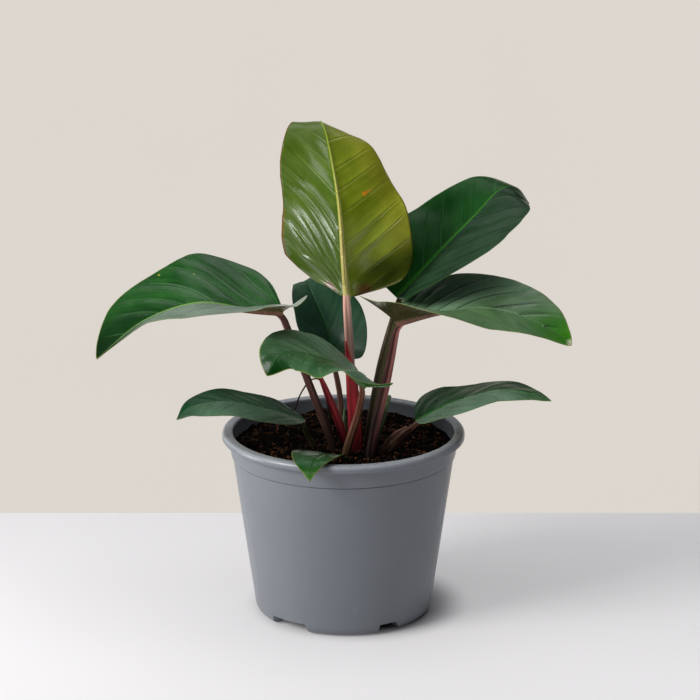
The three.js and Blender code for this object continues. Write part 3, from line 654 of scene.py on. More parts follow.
def stalk_paint(name, foot, top, blush_and_highlight, span=(0.15, 0.7), contrast=0.5):
    """Colours at the foot and the top, and on the right-hand side a blush that is partly a painted
    highlight. span is where along the stalk the one gives way to the other, and contrast how dark
    the streaks are. Painted shade darkens the foot."""
    paint = Paint(name, 0.46, specular=0.25)
    u, t, _ = paint.parts(paint.layer("sweep", "Vector"))
    streak_place = paint.joined(paint.times(u, 9.0), paint.times(t, 2.5), 3.0)
    streaks = paint.noise(1, 3, 0.6, place=streak_place)
    color = paint.mix(paint.step(t, *span), foot, top)
    # Painted highlight, partly the stalk's own blush: a lighter tint down the right-hand side
    facing = paint.times(paint.math("COSINE", paint.times(u, math.tau)), 0.5)
    facing = paint.plus(facing, 0.5)
    blush_and_highlight_share = paint.times(paint.step(facing, 0.4, 0.95), paint.step(t, 0.1, 0.55))
    color = paint.mix(paint.times(blush_and_highlight_share, 0.85), color, blush_and_highlight)
    dark = paint.mix(1.0, color, (1 - contrast, 1 - 1.05 * contrast, 1 - 1.05 * contrast, 1), "MULTIPLY")
    color = paint.mix(paint.step(streaks, 0.35, 0.7), dark, color)
    # Painted shade: every stalk and sheath grows darker toward its foot, near the soil
    painted_foot_shade = paint.mix(1.0, color, (0.24, 0.22, 0.2, 1), "MULTIPLY")
    color = paint.mix(paint.step(t, 0.12, 0.55), painted_foot_shade, color)
    speck = paint.step(paint.cells(700), 0.2, 0.05)
    color = paint.mix(paint.times(speck, 0.25), color, (150, 120, 90))
    return paint.finish(color, None, paint.bump(streaks, 0.0003, 0.5))


def pot_paint():
    paint = Paint("pot_plastic", 0.36, specular=0.42)
    cloud = paint.noise(14, 3)
    color = paint.mix(cloud, (103, 108, 114), (112, 117, 123))
    scuff = paint.noise(90, 5, 0.65, place=paint.scaled(paint.place(), (1, 1, 0.25)))
    color = paint.mix(paint.step(scuff, 0.62, 0.8, 0.0, 0.3), color, (150, 153, 158))
    height = paint.parts(paint.place())[2]
    # Painted highlight: the lip is lighter, and a little smoother, where the light from above catches it
    lip_highlight = paint.step(height, (POT_HEIGHT - 4) * MM, (POT_HEIGHT - 0.5) * MM)
    color = paint.mix(lip_highlight, color, (150, 154, 160))
    smoother = paint.times(lip_highlight, 0.08)
    roughness = paint.minus(paint.step(scuff, 0.3, 0.75, 0.28, 0.42), smoother)
    return paint.finish(color, roughness, paint.bump(paint.noise(2600, 2), 0.00004, 0.5))


def soil_paint():
    paint = Paint("soil_peat", 0.95, specular=0.05)
    coarse = paint.noise(120, 6, 0.7)
    tiny = paint.noise(900, 4, 0.7)
    color = paint.mix(paint.step(coarse, 0.35, 0.7), (2, 1, 1), (13, 8, 5))
    color = paint.mix(paint.step(tiny, 0.62, 0.76, 0.0, 0.75), color, (96, 58, 30))
    return paint.finish(color, None, paint.bump(tiny, 0.0006))


def crumb_paint():
    paint = Paint("soil_crumbs", 0.95, specular=0.05)
    shade = paint.layer("shade")
    color = paint.mix(shade, (2, 1, 1), (120, 72, 38))
    tiny = paint.noise(1200, 3)
    color = paint.mix(paint.times(tiny, 0.3), color, (30, 18, 10))
    return paint.finish(color, None, paint.bump(tiny, 0.0004))


def bark_paint(name, dark, light):
    paint = Paint(name, 0.85)
    grain = paint.noise(260, 5, 0.7)
    color = paint.mix(paint.step(grain, 0.35, 0.7), dark, light)
    return paint.finish(color, None, paint.bump(grain, 0.0006))


# Leaves

def midrib_frames(leaf):
    """Points and directions along a leaf's midrib, with its twist in the upward one."""
    t = np.linspace(0, 1, MIDRIB_STATIONS + 1)
    point = curve_at(leaf["midrib"], t)
    along = tangent_at(leaf["midrib"], t)
    up = carried(leaf["face"], along)
    length = np.concatenate([[0], np.cumsum(np.linalg.norm(np.diff(point, axis=0), axis=1))])
    turn = -np.radians(mix(*leaf["twist"], length / length[-1]))[:, None]
    up = up * np.cos(turn) + np.cross(along, up) * np.sin(turn)
    return {"length": length, "total": length[-1], "point": point, "along": along, "up": up,
            "left": np.cross(up, along)}


def frame_at(frames, distance):
    """Point, direction, upward and leftward vectors at distances along the midrib."""
    d = np.clip(distance, 0, frames["total"])

    def between(key):
        return np.stack([np.interp(d, frames["length"], frames[key][:, k]) for k in range(3)], axis=-1)

    along = unit(between("along"))
    point = between("point") + along * np.minimum(distance, 0)[..., None]
    return point, along, unit(between("up")), unit(between("left"))


def edge_at(leaf, total, s, k):
    """How far along the midrib and how far out the edge of half k lies at s."""
    back = leaf["lobe"][k] * np.sin(np.pi * np.minimum(s / LOBE_SPAN, 1)) ** LOBE_ROUND
    widest, blunt = leaf["shape"]
    out = leaf["half"][k] * np.maximum(np.sin(np.pi * s**widest), 0) ** blunt
    return total * s**EDGE_SPACING - back, out


def first_vein(leaf, total, k):
    """Where on the edge of half k the row ends that lies furthest back."""
    s = np.arange(*FIRST_VEIN, FIRST_VEIN_STEP)
    along, out = edge_at(leaf, total, s, k)
    return s[np.argmin(along / out**VEIN_LEAN)]


def vein_rows(leaf, total, k):
    """The rows of one half, which follow its side veins: s on the edge, root on the midrib,
    the bend of the vein's path, and a phase that is a whole number on each main vein."""
    s = np.linspace(first_vein(leaf, total, k), LAST_VEIN, 2000)
    along, out = edge_at(leaf, total, s, k)
    ahead = np.maximum.accumulate(along - leaf["lean"][k] * out)
    soft = ROOT_SOFTNESS * total
    root = soft * np.logaddexp(0, ahead / soft)
    root = total * (root - root[0]) / (root[-1] - root[0])
    edge_way = np.hypot(np.gradient(along), np.gradient(out))
    way = np.cumsum(edge_way + 0.8 * np.gradient(root))
    way = (way - way[0]) / (way[-1] - way[0])
    even = np.linspace(0, 1, ROWS + 1)
    s, root, along = (np.interp(even, way, values) for values in (s, root, along))
    bend = mix(VEIN_LEAN, VEIN_LEAN_BEYOND, smoothstep(along / total, 0.1, 0.35))
    # The side veins of the two halves don't meet, and aren't quite evenly spaced
    phase = leaf["veins"] * even + 0.35 * k
    phase = phase + 0.12 * np.sin(2.3 * phase + 1.7 * k + leaf["veins"])
    return s, root, bend, phase


def blade_skin(leaf, frames, k, rows, share, lift):
    """Points of half k over rows and shares of the way out. lift is along the normal."""
    side = 1 - 2 * k
    total = frames["total"]
    s, root, bend, _ = rows
    edge_along, edge_out = edge_at(leaf, total, s, k)
    u = mix(root[:, None], edge_along[:, None], share ** bend[:, None])
    v = edge_out[:, None] * share
    point, _, up, left = frame_at(frames, u)
    fold = np.radians(eased(leaf["fold"][k], u / total))
    curl = np.radians(eased(leaf["curl"][k], u / total)) / leaf["half"][k]
    curl = np.where(np.abs(curl) < 1e-6, 1e-6, curl)
    out = (np.sin(fold + curl * v) - np.sin(fold)) / curl
    height, count, start = leaf["wave"][k]
    wave = height * (v / leaf["half"][k]) ** 2 * np.sin(2 * np.pi * (count * s[:, None] + start))
    lobe_lift = leaf["rise"][k] * (np.maximum(-u, 0) / max(leaf["lobe"][k], 1)) ** LOBE_LIFT
    raised = (np.cos(fold) - np.cos(fold + curl * v)) / curl + wave + lobe_lift
    lean = (fold + curl * v) * smoothstep(v, 0, 2.5)
    sideways = side * (out - lift * np.sin(lean))
    return point + left * sideways[..., None] + up * (raised + lift * np.cos(lean))[..., None]


def creases(leaf, k, rows, total, share):
    """How far the blade is puffed up between the side veins of half k, and sunk on them."""
    _, root, _, phase = rows
    from_vein = 2 * np.abs((phase + 0.5) % 1 - 0.5)
    puff = 1 - (1 - from_vein) ** 2.2 - 0.6
    reach = smoothstep(share, 0.02, 0.2) * (1 - 0.75 * smoothstep(share, 0.5, 1))
    before_tip = 1 - smoothstep(root / total, 0.75, 1)
    fade = mix(*leaf["pleat_fade"], root / total)
    return leaf["pleat"][k] * (puff * before_tip * fade)[:, None] * reach


def ripples(leaf, frames, rows, k, skin, share):
    """Uneven swellings along the blade's normal, over both sides alike."""
    s, root, bend, _ = rows
    total = frames["total"]
    seed = Vector((7.3 * leaf["veins"], total, 0))
    ripple = np.array([[noise.noise(Vector(p) * RIPPLE_SCALE + seed) for p in row] for row in skin])
    before_tip = 1 - smoothstep(root / total, 0.75, 1)
    ripple = RIPPLE * ripple * smoothstep(share, 0.1, 0.9) * before_tip[:, None]
    edge_along, _ = edge_at(leaf, total, s, k)
    normal = frame_at(frames, mix(root[:, None], edge_along[:, None], share ** bend[:, None]))[2]
    return normal * ripple[..., None]


def half_blade(leaf, frames, k):
    """The upper and the lower skin of half k from its midrib out, and their layers."""
    total = frames["total"]
    side = 1 - 2 * k
    rows = vein_rows(leaf, total, k)
    s, root, _, phase = rows
    _, out = edge_at(leaf, total, s, k)
    size = (total - MIDRIB_TAPER * root) * (1 + RIB_FOOT * (1 - root / total) ** 3)
    rib = MIDRIB_HALF_WIDTH * size
    beside = np.minimum(rib / out, 0.25)
    in_rib = np.linspace(0, 1, RIB_COLUMNS)
    beyond = np.linspace(0, 1, BLADE_COLUMNS)[1:] ** 0.9
    share = np.hstack([beside[:, None] * in_rib, mix(beside[:, None], 1, beyond)])
    v = share * out[:, None]
    pleat = creases(leaf, k, rows, total, share)
    groove = -GROOVE * np.exp(-((v / (0.8 * rib[:, None])) ** 2))
    thick = BLADE * mix(1, EDGE_THIN, smoothstep(share, 0.3, 1)) / 2
    skins = [blade_skin(leaf, frames, k, rows, share, pleat + thick + groove),
             blade_skin(leaf, frames, k, rows, share, pleat - thick)]
    swelling = ripples(leaf, frames, rows, k, skins[0], share)
    skins = [skin + swelling for skin in skins]
    # The midrib's half round below
    point, _, up, left = frame_at(frames, root)
    angle = in_rib * np.pi / 2
    wide = side * 0.92 * rib
    deep = MIDRIB_DEPTH * size + BLADE / 2
    oval = (point[:, None] + left[:, None] * (wide[:, None] * np.sin(angle))[..., None]
            - up[:, None] * (deep[:, None] * np.cos(angle))[..., None])
    keep = smoothstep(in_rib, 0.55, 1)[None, :, None]
    skins[1][:, :RIB_COLUMNS] = mix(oval, skins[1][:, :RIB_COLUMNS], keep)
    layers = {
        "blade": np.stack([side * v, out[:, None] - v, phase[:, None] + 0 * v], axis=-1),
        "along": (root / total)[:, None] + 0.12 * share,
        "rib": rib[:, None] + 0 * v,
    }
    return skins, layers


def across(left, right):
    """One grid from the left edge over the midrib to the right edge."""
    return np.concatenate([left[:, :0:-1], right], axis=1)


def make_leaf(name, leaf, upper, under):
    """A closed blade: an upper and a lower skin, each in its own finish, with a rim between."""
    frames = midrib_frames(leaf)
    (left_skins, left_layers), (right_skins, right_layers) = (half_blade(leaf, frames, k) for k in (0, 1))
    skins = [across(left, right) for left, right in zip(left_skins, right_skins)]
    # The phase jumps at the midrib, where the midrib's own colour covers it
    layers = {key: across(left_layers[key], right_layers[key]) for key in left_layers}
    count, columns = skins[0].shape[:2]
    size = count * columns
    sheet = grid_faces(count, columns)
    border = np.concatenate([
        np.arange(columns - 1),
        np.arange(count - 1) * columns + columns - 1,
        (count - 1) * columns + np.arange(columns - 1, 0, -1),
        np.arange(count - 1, 0, -1) * columns,
    ])
    following = np.roll(border, -1)
    rim = np.stack([border, following, following + size, border + size], axis=-1)
    vertices = np.concatenate([skin.reshape(-1, 3) for skin in skins])
    faces = np.concatenate([sheet[:, ::-1], sheet + size, rim])
    kinds = np.concatenate([np.zeros(len(sheet)), np.ones(len(sheet)), np.zeros(len(rim))])
    both_sides = {key: np.concatenate([values.reshape(size, *values.shape[2:])] * 2)
                  for key, values in layers.items()}
    return make_object(f"blade_{name}", vertices, faces, [upper, under], both_sides, kinds.astype(int))


# Stalks and the like

def oval_section(angle):
    return np.ones_like(angle)


def stalk_section(angle):
    """A round stalk, a little flat and grooved on the side at a quarter turn."""
    from_face = np.abs((angle - np.pi / 2 + np.pi) % (2 * np.pi) - np.pi)
    return 1 - 0.16 * np.exp(-((from_face / 0.35) ** 2)) - 0.05 * np.exp(-((from_face / 0.9) ** 2))


def sweep(points, widths, depths, face, steps, sides=28, section=oval_section, rough=0.0, seed=0):
    """A closed solid with that section along a curve, rounded off at its far end, and a layer
    that says how far round it and how far along it each point is."""
    t = np.linspace(0, 1, steps + 1)
    centre = curve_at(points, t)
    along = tangent_at(points, t)
    normal = carried(face, along)
    sideways = np.cross(along, normal)
    width = curve_at(np.array(widths)[:, None], t)[:, 0] / 2
    depth = curve_at(np.array(depths)[:, None], t)[:, 0] / 2
    angle = np.arange(sides) / sides * 2 * np.pi
    shape = section(angle)
    rings = (centre[:, None] + sideways[:, None] * (width[:, None] * shape * np.cos(angle))[..., None]
             + normal[:, None] * (depth[:, None] * shape * np.sin(angle))[..., None])
    if rough:
        shift = Vector((seed, 0, 0))
        bumps = np.array([[noise.noise(Vector(p) * 0.22 + shift) for p in ring] for ring in rings])
        rings = rings + unit(rings - centre[:, None]) * (rough * bumps)[..., None]
    cap = centre[-1] + along[-1] * 0.4 * min(width[-1], depth[-1])
    vertices = np.concatenate([rings.reshape(-1, 3), [centre[0]], [cap]])
    faces = grid_faces(steps + 1, sides, wrap=True).tolist()
    low, high = (steps + 1) * sides, (steps + 1) * sides + 1
    for j in range(sides):
        following = (j + 1) % sides
        faces.append([low, following, j])
        faces.append([high, steps * sides + j, steps * sides + following])
    place = np.zeros((len(vertices), 3))
    place[: (steps + 1) * sides, 0] = np.tile(angle / (2 * np.pi), steps + 1)
    place[: (steps + 1) * sides, 1] = np.repeat(t, sides)
    place[high, 1] = 1
    return vertices, faces, {"sweep": place}


def make_stalk(name, leaf, material):
    """A stalk up through its points, which bends at its neck to run out under the midrib."""
    points, widths = STALKS[name]
    frames = midrib_frames(leaf)
    root, _, up, _ = (v[0] for v in frame_at(frames, np.array([0.0])))
    ahead, _, ahead_up, _ = (v[0] for v in frame_at(frames, np.array([NECK_BEND])))
    rib = MIDRIB_HALF_WIDTH * frames["total"] * (1 + RIB_FOOT)
    neck = root - up * TOP_BELOW * widths[-1]
    share = np.linspace(0, 1, 61)
    path = curve_at([*points, tuple(neck)], share)
    wide = curve_at(np.array(widths)[:, None], share)
    straight = np.linalg.norm(path - neck, axis=1) > NECK_BEND
    path, wide = path[straight], wide[straight]
    turn = np.linspace(0, 1, 12)[1:, None]
    under_rib = ahead - ahead_up * 0.4 * rib
    bend = path[-1] * (1 - turn) ** 2 + 2 * neck * turn * (1 - turn) + under_rib * turn**2
    path = np.concatenate([path, bend])
    wide = np.concatenate([wide, mix(wide[-1], 1.3 * rib, turn)])[:, 0]
    vertices, faces, layers = sweep(path, wide, wide, FORWARD, steps=110, section=stalk_section,
                                    rough=0.12, seed=len(name))
    return make_object(f"petiole_{name}", vertices, faces, [material], layers)


# Pot

def wall_radius(z):
    return WALL_FOOT_RADIUS + WALL_SLOPE * (z - WALL_FOOT_HEIGHT)


def arc(centre, radius, start, end, steps=8):
    """[radius, height] pairs on a round, by angles in degrees from straight out."""
    angles = np.radians(np.linspace(start, end, steps + 1))
    return [(centre[0] + radius * math.cos(a), centre[1] + radius * math.sin(a)) for a in angles]


def turned(name, profile, segments, materials):
    """A closed solid about Z from [radius, height] pairs, with a disc over the first and the last."""
    profile = np.array(profile)
    angle = np.arange(segments) / segments * 2 * np.pi
    rings = np.stack([profile[:, :1] * np.cos(angle), profile[:, :1] * np.sin(angle),
                      profile[:, 1:] + 0 * angle], axis=-1)
    faces = grid_faces(len(profile), segments, wrap=True)[:, ::-1].tolist()
    last = (len(profile) - 1) * segments
    faces.append(list(range(segments)))
    faces.append(list(range(last + segments - 1, last - 1, -1)))
    return make_object(name, rings.reshape(-1, 3), faces, materials)


def pot_profile():
    """[radius, height] pairs round the pot's section, from its base disc out and up to the rim, and
    back down inside. The small offsets round off its corners."""
    def collar(z):
        return wall_radius(z) + COLLAR_PROUD

    def inside(z):
        return wall_radius(z) - WALL

    foot_inside = FOOT_RADIUS - FOOT_WIDTH
    floor = CHANNEL_HEIGHT + BASE_THICKNESS
    foot_curve = [(mix(FOOT_RADIUS, WALL_FOOT_RADIUS, math.sin(a)),
                   mix(0.4, WALL_FOOT_HEIGHT, 1 - math.cos(a))) for a in np.linspace(0, math.pi / 2, 12)]
    return [
        (BASE_DISC_RADIUS - 0.4, 0),
        (BASE_DISC_RADIUS + 0.2, 0.3),
        (CHANNEL_INNER_RADIUS - 0.3, CHANNEL_HEIGHT - 0.4),
        (CHANNEL_INNER_RADIUS + 0.4, CHANNEL_HEIGHT),
        (foot_inside - 1.4, CHANNEL_HEIGHT),
        (foot_inside - 0.9, CHANNEL_HEIGHT - 0.5),
        (foot_inside, 0.4),
        (foot_inside + 0.4, 0),
        (FOOT_RADIUS - 0.5, 0),
        *foot_curve,
        *[(wall_radius(z), z) for z in np.linspace(14, COLLAR_BOTTOM - 1, 24)],
        (wall_radius(COLLAR_BOTTOM) - 0.5, COLLAR_BOTTOM - 0.7),
        (wall_radius(COLLAR_BOTTOM) - 0.4, COLLAR_BOTTOM),
        *arc((collar(COLLAR_BOTTOM) - 0.5, COLLAR_BOTTOM + 0.5), 0.5, -80, 0, 4),
        *[(collar(z), z) for z in np.linspace(COLLAR_BOTTOM + 1.5, LIP_BOTTOM - 0.8, 5)],
        *arc((collar(LIP_BOTTOM) + LEDGE_ROUND, LIP_BOTTOM - 0.6), LEDGE_ROUND, 180, 95, 4),
        (RIM_RADIUS - 1.2, LIP_BOTTOM),
        *arc((RIM_RADIUS - LEDGE_ROUND, LIP_BOTTOM + LEDGE_ROUND), LEDGE_ROUND, -90, 0, 4),
        *arc((RIM_RADIUS - RIM_ROUND, POT_HEIGHT - RIM_ROUND), RIM_ROUND, 5, 82, 10),
        *arc((MOUTH_RADIUS + MOUTH_ROUND, POT_HEIGHT - MOUTH_ROUND), MOUTH_ROUND, 98, 178, 6),
        *[(mix(MOUTH_RADIUS, inside(COLLAR_BOTTOM), a), mix(POT_HEIGHT - 3, COLLAR_BOTTOM, a))
          for a in np.linspace(0, 1, 5)],
        *[(inside(z), z) for z in np.linspace(COLLAR_BOTTOM - 6, floor + 6, 12)],
        (inside(floor + 3) - 0.8, floor + 2.5),
        (inside(floor) - 3, floor + 0.6),
        (inside(floor) - 6, floor),
        (CHANNEL_INNER_RADIUS - 2, floor),
        (BASE_DISC_RADIUS - 3, BASE_THICKNESS),
    ]


def drill_drains(cutters):
    for k in range(DRAIN_HOLES):
        angle = k / DRAIN_HOLES * math.tau
        made = bmesh.ops.create_cone(cutters, cap_ends=True, segments=40, radius1=DRAIN_RADIUS * MM,
                                     radius2=DRAIN_RADIUS * MM, depth=20 * MM)
        place = (DRAIN_CIRCLE * math.cos(angle), DRAIN_CIRCLE * math.sin(angle), CHANNEL_HEIGHT)
        bmesh.ops.translate(cutters, vec=Vector(place) * MM, verts=made["verts"])


def add_notch(cutters, start, end, flares):
    """The block cut out of the foot between two azimuths, wider at the bottom where it flares and
    slanted on its inner side, so that it stays under the wall."""
    rows = []
    for z, spread, inner in ((-1, 1.1, FOOT_RADIUS - FOOT_WIDTH - 3), (NOTCH_HEIGHT, 0, FOOT_RADIUS - 1)):
        low, high = start - spread * flares[0], end + spread * flares[1]
        for radius in (inner, WALL_FOOT_RADIUS + 4):
            angles = np.radians(np.linspace(low, high, NOTCH_STEPS + 1))
            rows.append([cutters.verts.new((radius * math.sin(a) * MM, -radius * math.cos(a) * MM, z * MM))
                         for a in angles])
    low_in, low_out, high_in, high_out = rows
    for a, b in ((low_in, low_out), (low_out, high_out), (high_out, high_in), (high_in, low_in)):
        for k in range(NOTCH_STEPS):
            cutters.faces.new((a[k], a[k + 1], b[k + 1], b[k]))
    for k in (0, NOTCH_STEPS):
        cutters.faces.new((low_in[k], low_out[k], high_out[k], high_in[k]))


def cut_pot(pot):
    """Cuts the notches and the drain holes out of the turned pot."""
    cutters = bmesh.new()
    for half in (0, 180):
        for start, end, *flares in NOTCHES:
            add_notch(cutters, start + half, end + half, flares)
    drill_drains(cutters)
    bmesh.ops.recalc_face_normals(cutters, faces=cutters.faces)
    mesh = bpy.data.meshes.new("cutters")
    cutters.to_mesh(mesh)
    cutters.free()
    cutter = bpy.data.objects.new("cutters", mesh)
    bpy.context.scene.collection.objects.link(cutter)
    cut = pot.modifiers.new("cut", "BOOLEAN")
    cut.operation = "DIFFERENCE"
    cut.solver = "EXACT"
    cut.object = cutter
    apply_modifiers(pot)
    bpy.data.objects.remove(cutter)
    bpy.data.meshes.remove(mesh)


def make_pot(material):
    pot = turned("nursery_pot", pot_profile(), POT_SEGMENTS, [material])
    cut_pot(pot)
    pot.data.set_sharp_from_angle(angle=math.radians(35))
    return pot


# Soil

def soil_height(x, y):
    """The soil's surface: the solid's slope and lumps, with clods and crumbs on it."""
    wide = math.sin(0.17 * x + 0.9) * math.cos(0.19 * y)
    small = 0.6 * math.sin(0.31 * y + 0.12 * x + 2)
    clods = noise.fractal(Vector((x * 0.07, y * 0.07, 0)), 0.9, 2.1, 3)
    crumbs = noise.fractal(Vector((x * 0.3, y * 0.3, 5)), 0.8, 2.2, 4)
    return SOIL_HEIGHT + SOIL_TILT * y + 0.8 * (wide + small) + 1.5 * clods + 1.3 * crumbs


def soil_reach(gap):
    """The soil's radius, less a gap to the wall."""
    return wall_radius(SOIL_HEIGHT) - WALL - gap


def soil_spot(chance, reach):
    """A random place on the soil within that radius."""
    r = reach * math.sqrt(chance.random())
    a = chance.random() * math.tau
    return r * math.cos(a), r * math.sin(a)


def make_soil(material):
    """The bed of soil: its surface in rings, and below it what the pot hides."""
    edge = soil_reach(0.2)
    radii = edge * (np.linspace(1, 0, SOIL_RINGS) ** 0.9)
    radii[-1] = 0.3
    turns = [j / SOIL_SIDES * math.tau for j in range(SOIL_SIDES)]
    vertices = []
    for r in radii:
        for a in turns:
            x, y = r * math.cos(a), r * math.sin(a)
            vertices.append((x, y, soil_height(x, y)))
    lower = [(edge, SOIL_HEIGHT - 8), (mix(edge, 78, 0.7), 60), (72, 14), (60, 11)]
    below = [(r * math.cos(a), r * math.sin(a), z) for r, z in lower[::-1] for a in turns]
    total = SOIL_RINGS + len(lower)
    faces = grid_faces(total, SOIL_SIDES, wrap=True).tolist()
    faces.append(list(range(SOIL_SIDES))[::-1])
    faces.append([(total - 1) * SOIL_SIDES + j for j in range(SOIL_SIDES)])
    return make_object("soil_bed", below + vertices, faces, [material])


def make_crumbs(material):
    """Loose crumbs of peat on the soil, each a small lump with uneven corners."""
    chance = random.Random(11)
    base = bmesh.new()
    bmesh.ops.create_icosphere(base, subdivisions=2, radius=1)
    corners = np.array([v.co for v in base.verts])
    sides = np.array([[v.index for v in f.verts] for f in base.faces])
    base.free()
    vertices, faces, shades = [], [], []
    edge = soil_reach(2)
    for _ in range(CRUMBS):
        x, y = soil_spot(chance, edge)
        size = 0.35 + 1.5 * chance.random() ** 4
        stretch = np.array([chance.uniform(0.7, 1.5), chance.uniform(0.7, 1.3), chance.uniform(0.5, 0.9)])
        shift = Vector((chance.random() * 50, 0, 0))
        bumps = np.array([1 + 0.55 * noise.noise(Vector(c) * 1.3 + shift) for c in corners])
        turn = chance.random() * math.tau
        cos, sin = math.cos(turn), math.sin(turn)
        spin = np.array([[cos, -sin, 0], [sin, cos, 0], [0, 0, 1]])
        placed = (corners * bumps[:, None] * stretch * size) @ spin.T
        faces.append(sides + len(vertices) * len(corners))
        vertices.append(placed + (x, y, soil_height(x, y) + 0.2 * size))
        shades.append(np.full(len(corners), chance.random() ** 4))
    return make_object("soil_crumbs", np.concatenate(vertices), np.concatenate(faces), [material],
                       {"shade": np.concatenate(shades)})


def make_fibres(material):
    """Thin coir fibres that lie on the soil in loose curves."""
    chance = random.Random(5)
    vertices, faces = [], []
    start = 0
    edge = soil_reach(6)
    for _ in range(FIBRES):
        x, y = soil_spot(chance, edge)
        heading = chance.random() * math.tau
        length = chance.uniform(4, 16)
        points = []
        for _ in range(4):
            points.append((x, y, soil_height(x, y) + chance.uniform(0.3, 1.6)))
            heading += chance.uniform(-0.7, 0.7)
            x += length / 3 * math.cos(heading)
            y += length / 3 * math.sin(heading)
            if math.hypot(x, y) > edge:
                x, y = x * edge / math.hypot(x, y), y * edge / math.hypot(x, y)
        width = chance.uniform(0.18, 0.4)
        made, sides, _ = sweep(points, [width] * 4, [width] * 4, (0, 0, 1), sides=5, steps=9)
        vertices.append(made)
        faces.extend([[n + start for n in side] for side in sides])
        start += len(made)
        # This draw is passed over, since the next fibre's place rests on it
        chance.random()
    return make_object("soil_fibres", np.concatenate(vertices), faces, [material])


# The object

BLADE_SLOTS = {"upright": "blade_olive", "rear": "blade_dark", "low_left": "blade_dark"}
for name, leaf in LEAVES.items():
    upper = leaf_paint(f"leaf_upper_{name}", {**PLAIN_UPPER, **UPPER[name]})
    under = leaf_paint(f"leaf_under_{name}", {**PLAIN_UNDER, **UNDER.get(name, OLIVE_UNDER)})
    dress(make_leaf(name, leaf, upper, under), BLADE_SLOTS.get(name, "blade_green"), f"leaf_{name}")

# Each stalk's slot, and its colours at the foot, at the top and on its right-hand side, where a painted
# highlight lies on the blush
STALK_LOOKS = {
    "upright": ("stalk_pink", (150, 90, 76), (232, 178, 160), (236, 196, 176)),
    "rear_right": ("stalk_olive", (74, 72, 44), (86, 76, 50), (132, 142, 84)),
    "right": ("stalk_brown", (40, 24, 18), (84, 44, 38), (250, 160, 154)),
    "left": ("stalk_brown", (56, 48, 38), (112, 68, 62), (90, 66, 54)),
    "rear": ("stalk_brown", (96, 70, 56), (120, 84, 68), (140, 96, 76)),
    "front": ("stalk_brown", (84, 74, 50), (138, 84, 66), (124, 92, 70)),
    "low_left": ("stalk_olive", (70, 68, 40), (78, 82, 48), (90, 88, 56)),
    "low_right": ("stalk_brown", (86, 66, 46), (126, 84, 70), (130, 90, 74)),
    "small_front": ("stalk_olive", (86, 80, 48), (96, 100, 56), (110, 104, 66)),
}
for name, (slot, foot, top, blush_and_highlight) in STALK_LOOKS.items():
    paint = stalk_paint(f"stalk_{name}_skin", foot, top, blush_and_highlight)
    dress(make_stalk(name, LEAVES[name], paint), slot, f"stalk_{name}")

# The same for the rest, with the span of the change from foot to top and the streaks' contrast
EXTRA_LOOKS = {
    "bud_scale_right": ("bud_scale", (104, 20, 34), (196, 48, 58), (206, 64, 70), (0.2, 0.6), 0.6),
    "bud_scale_left": ("bud_scale", (96, 20, 32), (206, 60, 70), (220, 84, 90), (0.2, 0.6), 0.6),
    "green_stub": ("green_stub", (16, 20, 13), (128, 156, 104), (146, 170, 120), (0.72, 0.9), 0.4),
    "green_bud": ("green_stub", (60, 84, 62), (104, 136, 100), (120, 150, 110), (0.4, 0.8), 0.4),
    "dry_sheath": ("dry_sheath", (84, 60, 46), (176, 132, 112), (206, 168, 140), (0.1, 0.6), 0.8),
    "air_root": ("air_root", (48, 34, 26), (58, 40, 30), (70, 48, 36), (0.1, 0.9), 0.4),
}
for name, (slot, *colors, span, contrast) in EXTRA_LOOKS.items():
    points, widths, depths, face = EXTRAS[name]
    thin = name == "air_root"
    vertices, faces, layers = sweep(points, widths, depths, face, sides=10 if thin else 28, steps=80,
                                    rough=0.1 if thin else 0.15)
    skin = stalk_paint(f"{name}_skin", *colors, span, contrast)
    dress(make_object(f"{name}_skin", vertices, faces, [skin], layers), slot, name)

dress(make_pot(pot_paint()), "pot", "pot")
dress(make_soil(soil_paint()), "soil", "soil")
dress(make_crumbs(crumb_paint()), "soil")
dress(make_fibres(bark_paint("coir", (70, 42, 24), (140, 90, 54))), "soil")
# The crown, hidden in the soil, stays the solid that it is
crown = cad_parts["crown"].data
crown.materials.clear()
crown.materials.append(bark_paint("crown_bark", (60, 40, 28), (110, 80, 58)))


# Floor, light and camera

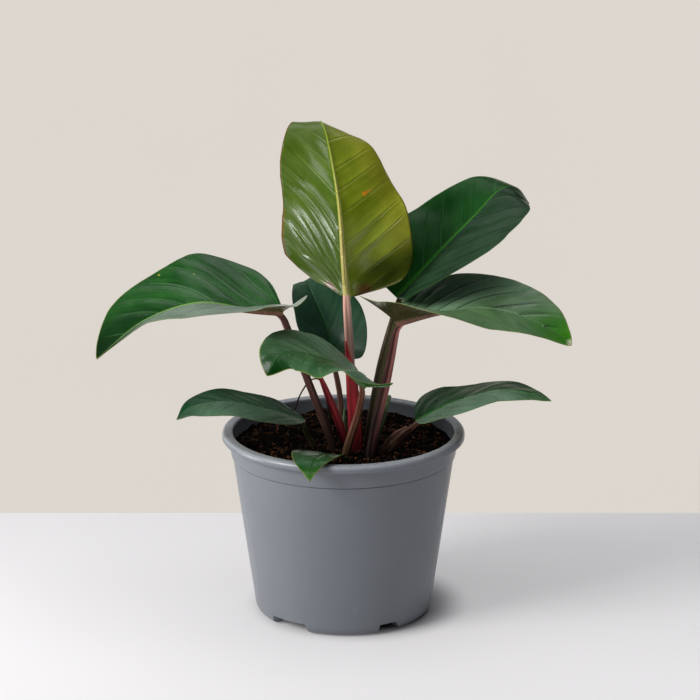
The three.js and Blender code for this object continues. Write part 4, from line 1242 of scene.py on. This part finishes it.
def make_floor():
    reach = FLOOR_REACH / MM
    back = FLOOR_BACK / MM
    corners = [(-reach, -reach, 0), (reach, -reach, 0), (reach, back, 0), (-reach, back, 0)]
    paint = Paint("floor_paint", 0.8)
    x, y, _ = paint.parts(paint.place())
    # Painted light: the glow is stronger in front. Painted shadow: it fades round the foot of the pot,
    # centred a little to the right
    glow = paint.plus(paint.step(y, *FRONT_SPAN, 0.0, FRONT_GLOW), FLOOR_GLOW)
    from_x = paint.minus(x, FOOT_SHADE_CENTRE[0])
    from_y = paint.minus(y, FOOT_SHADE_CENTRE[1])
    away = paint.math("SQRT", paint.plus(paint.times(from_x, from_x),
                                         paint.times(from_y, from_y)))
    glow = paint.times(paint.step(away, *FOOT_SHADE_SPAN), glow)
    paint.give("Emission Color", srgb(232, 230, 231))
    paint.give("Emission Strength", glow)
    paint.finish(paint.mix(paint.noise(3, 3), (177, 175, 176), (182, 180, 181)))
    floor = make_object("floor", corners, [(0, 1, 2, 3)], [paint.material])


def make_wall():
    left, right, bottom, top = (value / MM for value in (*WALL_SIDES, *WALL_HEIGHTS))
    back = WALL_BACK / MM
    corners = [(left, back, bottom), (right, back, bottom), (right, back, top), (left, back, top)]
    paint = Paint("wall_paint", 0.9, specular=0.0)
    shade = paint.mix(paint.noise(1.5, 2), (219, 213, 205), (222, 216, 208))
    glow = paint.step(paint.parts(paint.place())[2], *WALL_DIMMED, *WALL_GLOW)
    paint.give("Emission Color", shade)
    paint.give("Emission Strength", glow)
    paint.finish((0, 0, 0, 1))
    wall = make_object("wall", corners, [(0, 1, 2, 3)], [paint.material])


def add_light(name, place, target, sides, watts, color):
    data = bpy.data.lights.new(name, "AREA")
    data.shape = "RECTANGLE"
    data.size, data.size_y = sides
    data.energy = watts
    data.color = color
    light = bpy.data.objects.new(name, data)
    light.location = place
    light.rotation_euler = (Vector(target) - Vector(place)).to_track_quat("-Z", "Y").to_euler()
    bpy.context.scene.collection.objects.link(light)


make_floor()
make_wall()
for name, light in LIGHTS.items():
    add_light(name, *light)

world = bpy.data.worlds.new("studio")
world.use_nodes = True
background = world.node_tree.nodes["Background"]
background.inputs["Color"].default_value = SKY_COLOR
background.inputs["Strength"].default_value = SKY_STRENGTH
bpy.context.scene.world = world

camera_data = bpy.data.cameras.new("camera")
camera_data.sensor_width = SENSOR
camera_data.lens = SENSOR * FOCAL_PIXELS / PICTURE_SIDE
camera = bpy.data.objects.new("camera", camera_data)
offset = Vector((0, -math.cos(CAMERA_PITCH), math.sin(CAMERA_PITCH))) * CAMERA_DISTANCE
camera.location = AIM + offset
camera.rotation_euler = (math.pi / 2 - CAMERA_PITCH, 0, 0)
bpy.context.scene.collection.objects.link(camera)
bpy.context.scene.camera = camera
bpy.context.scene.view_settings.view_transform = "Standard"
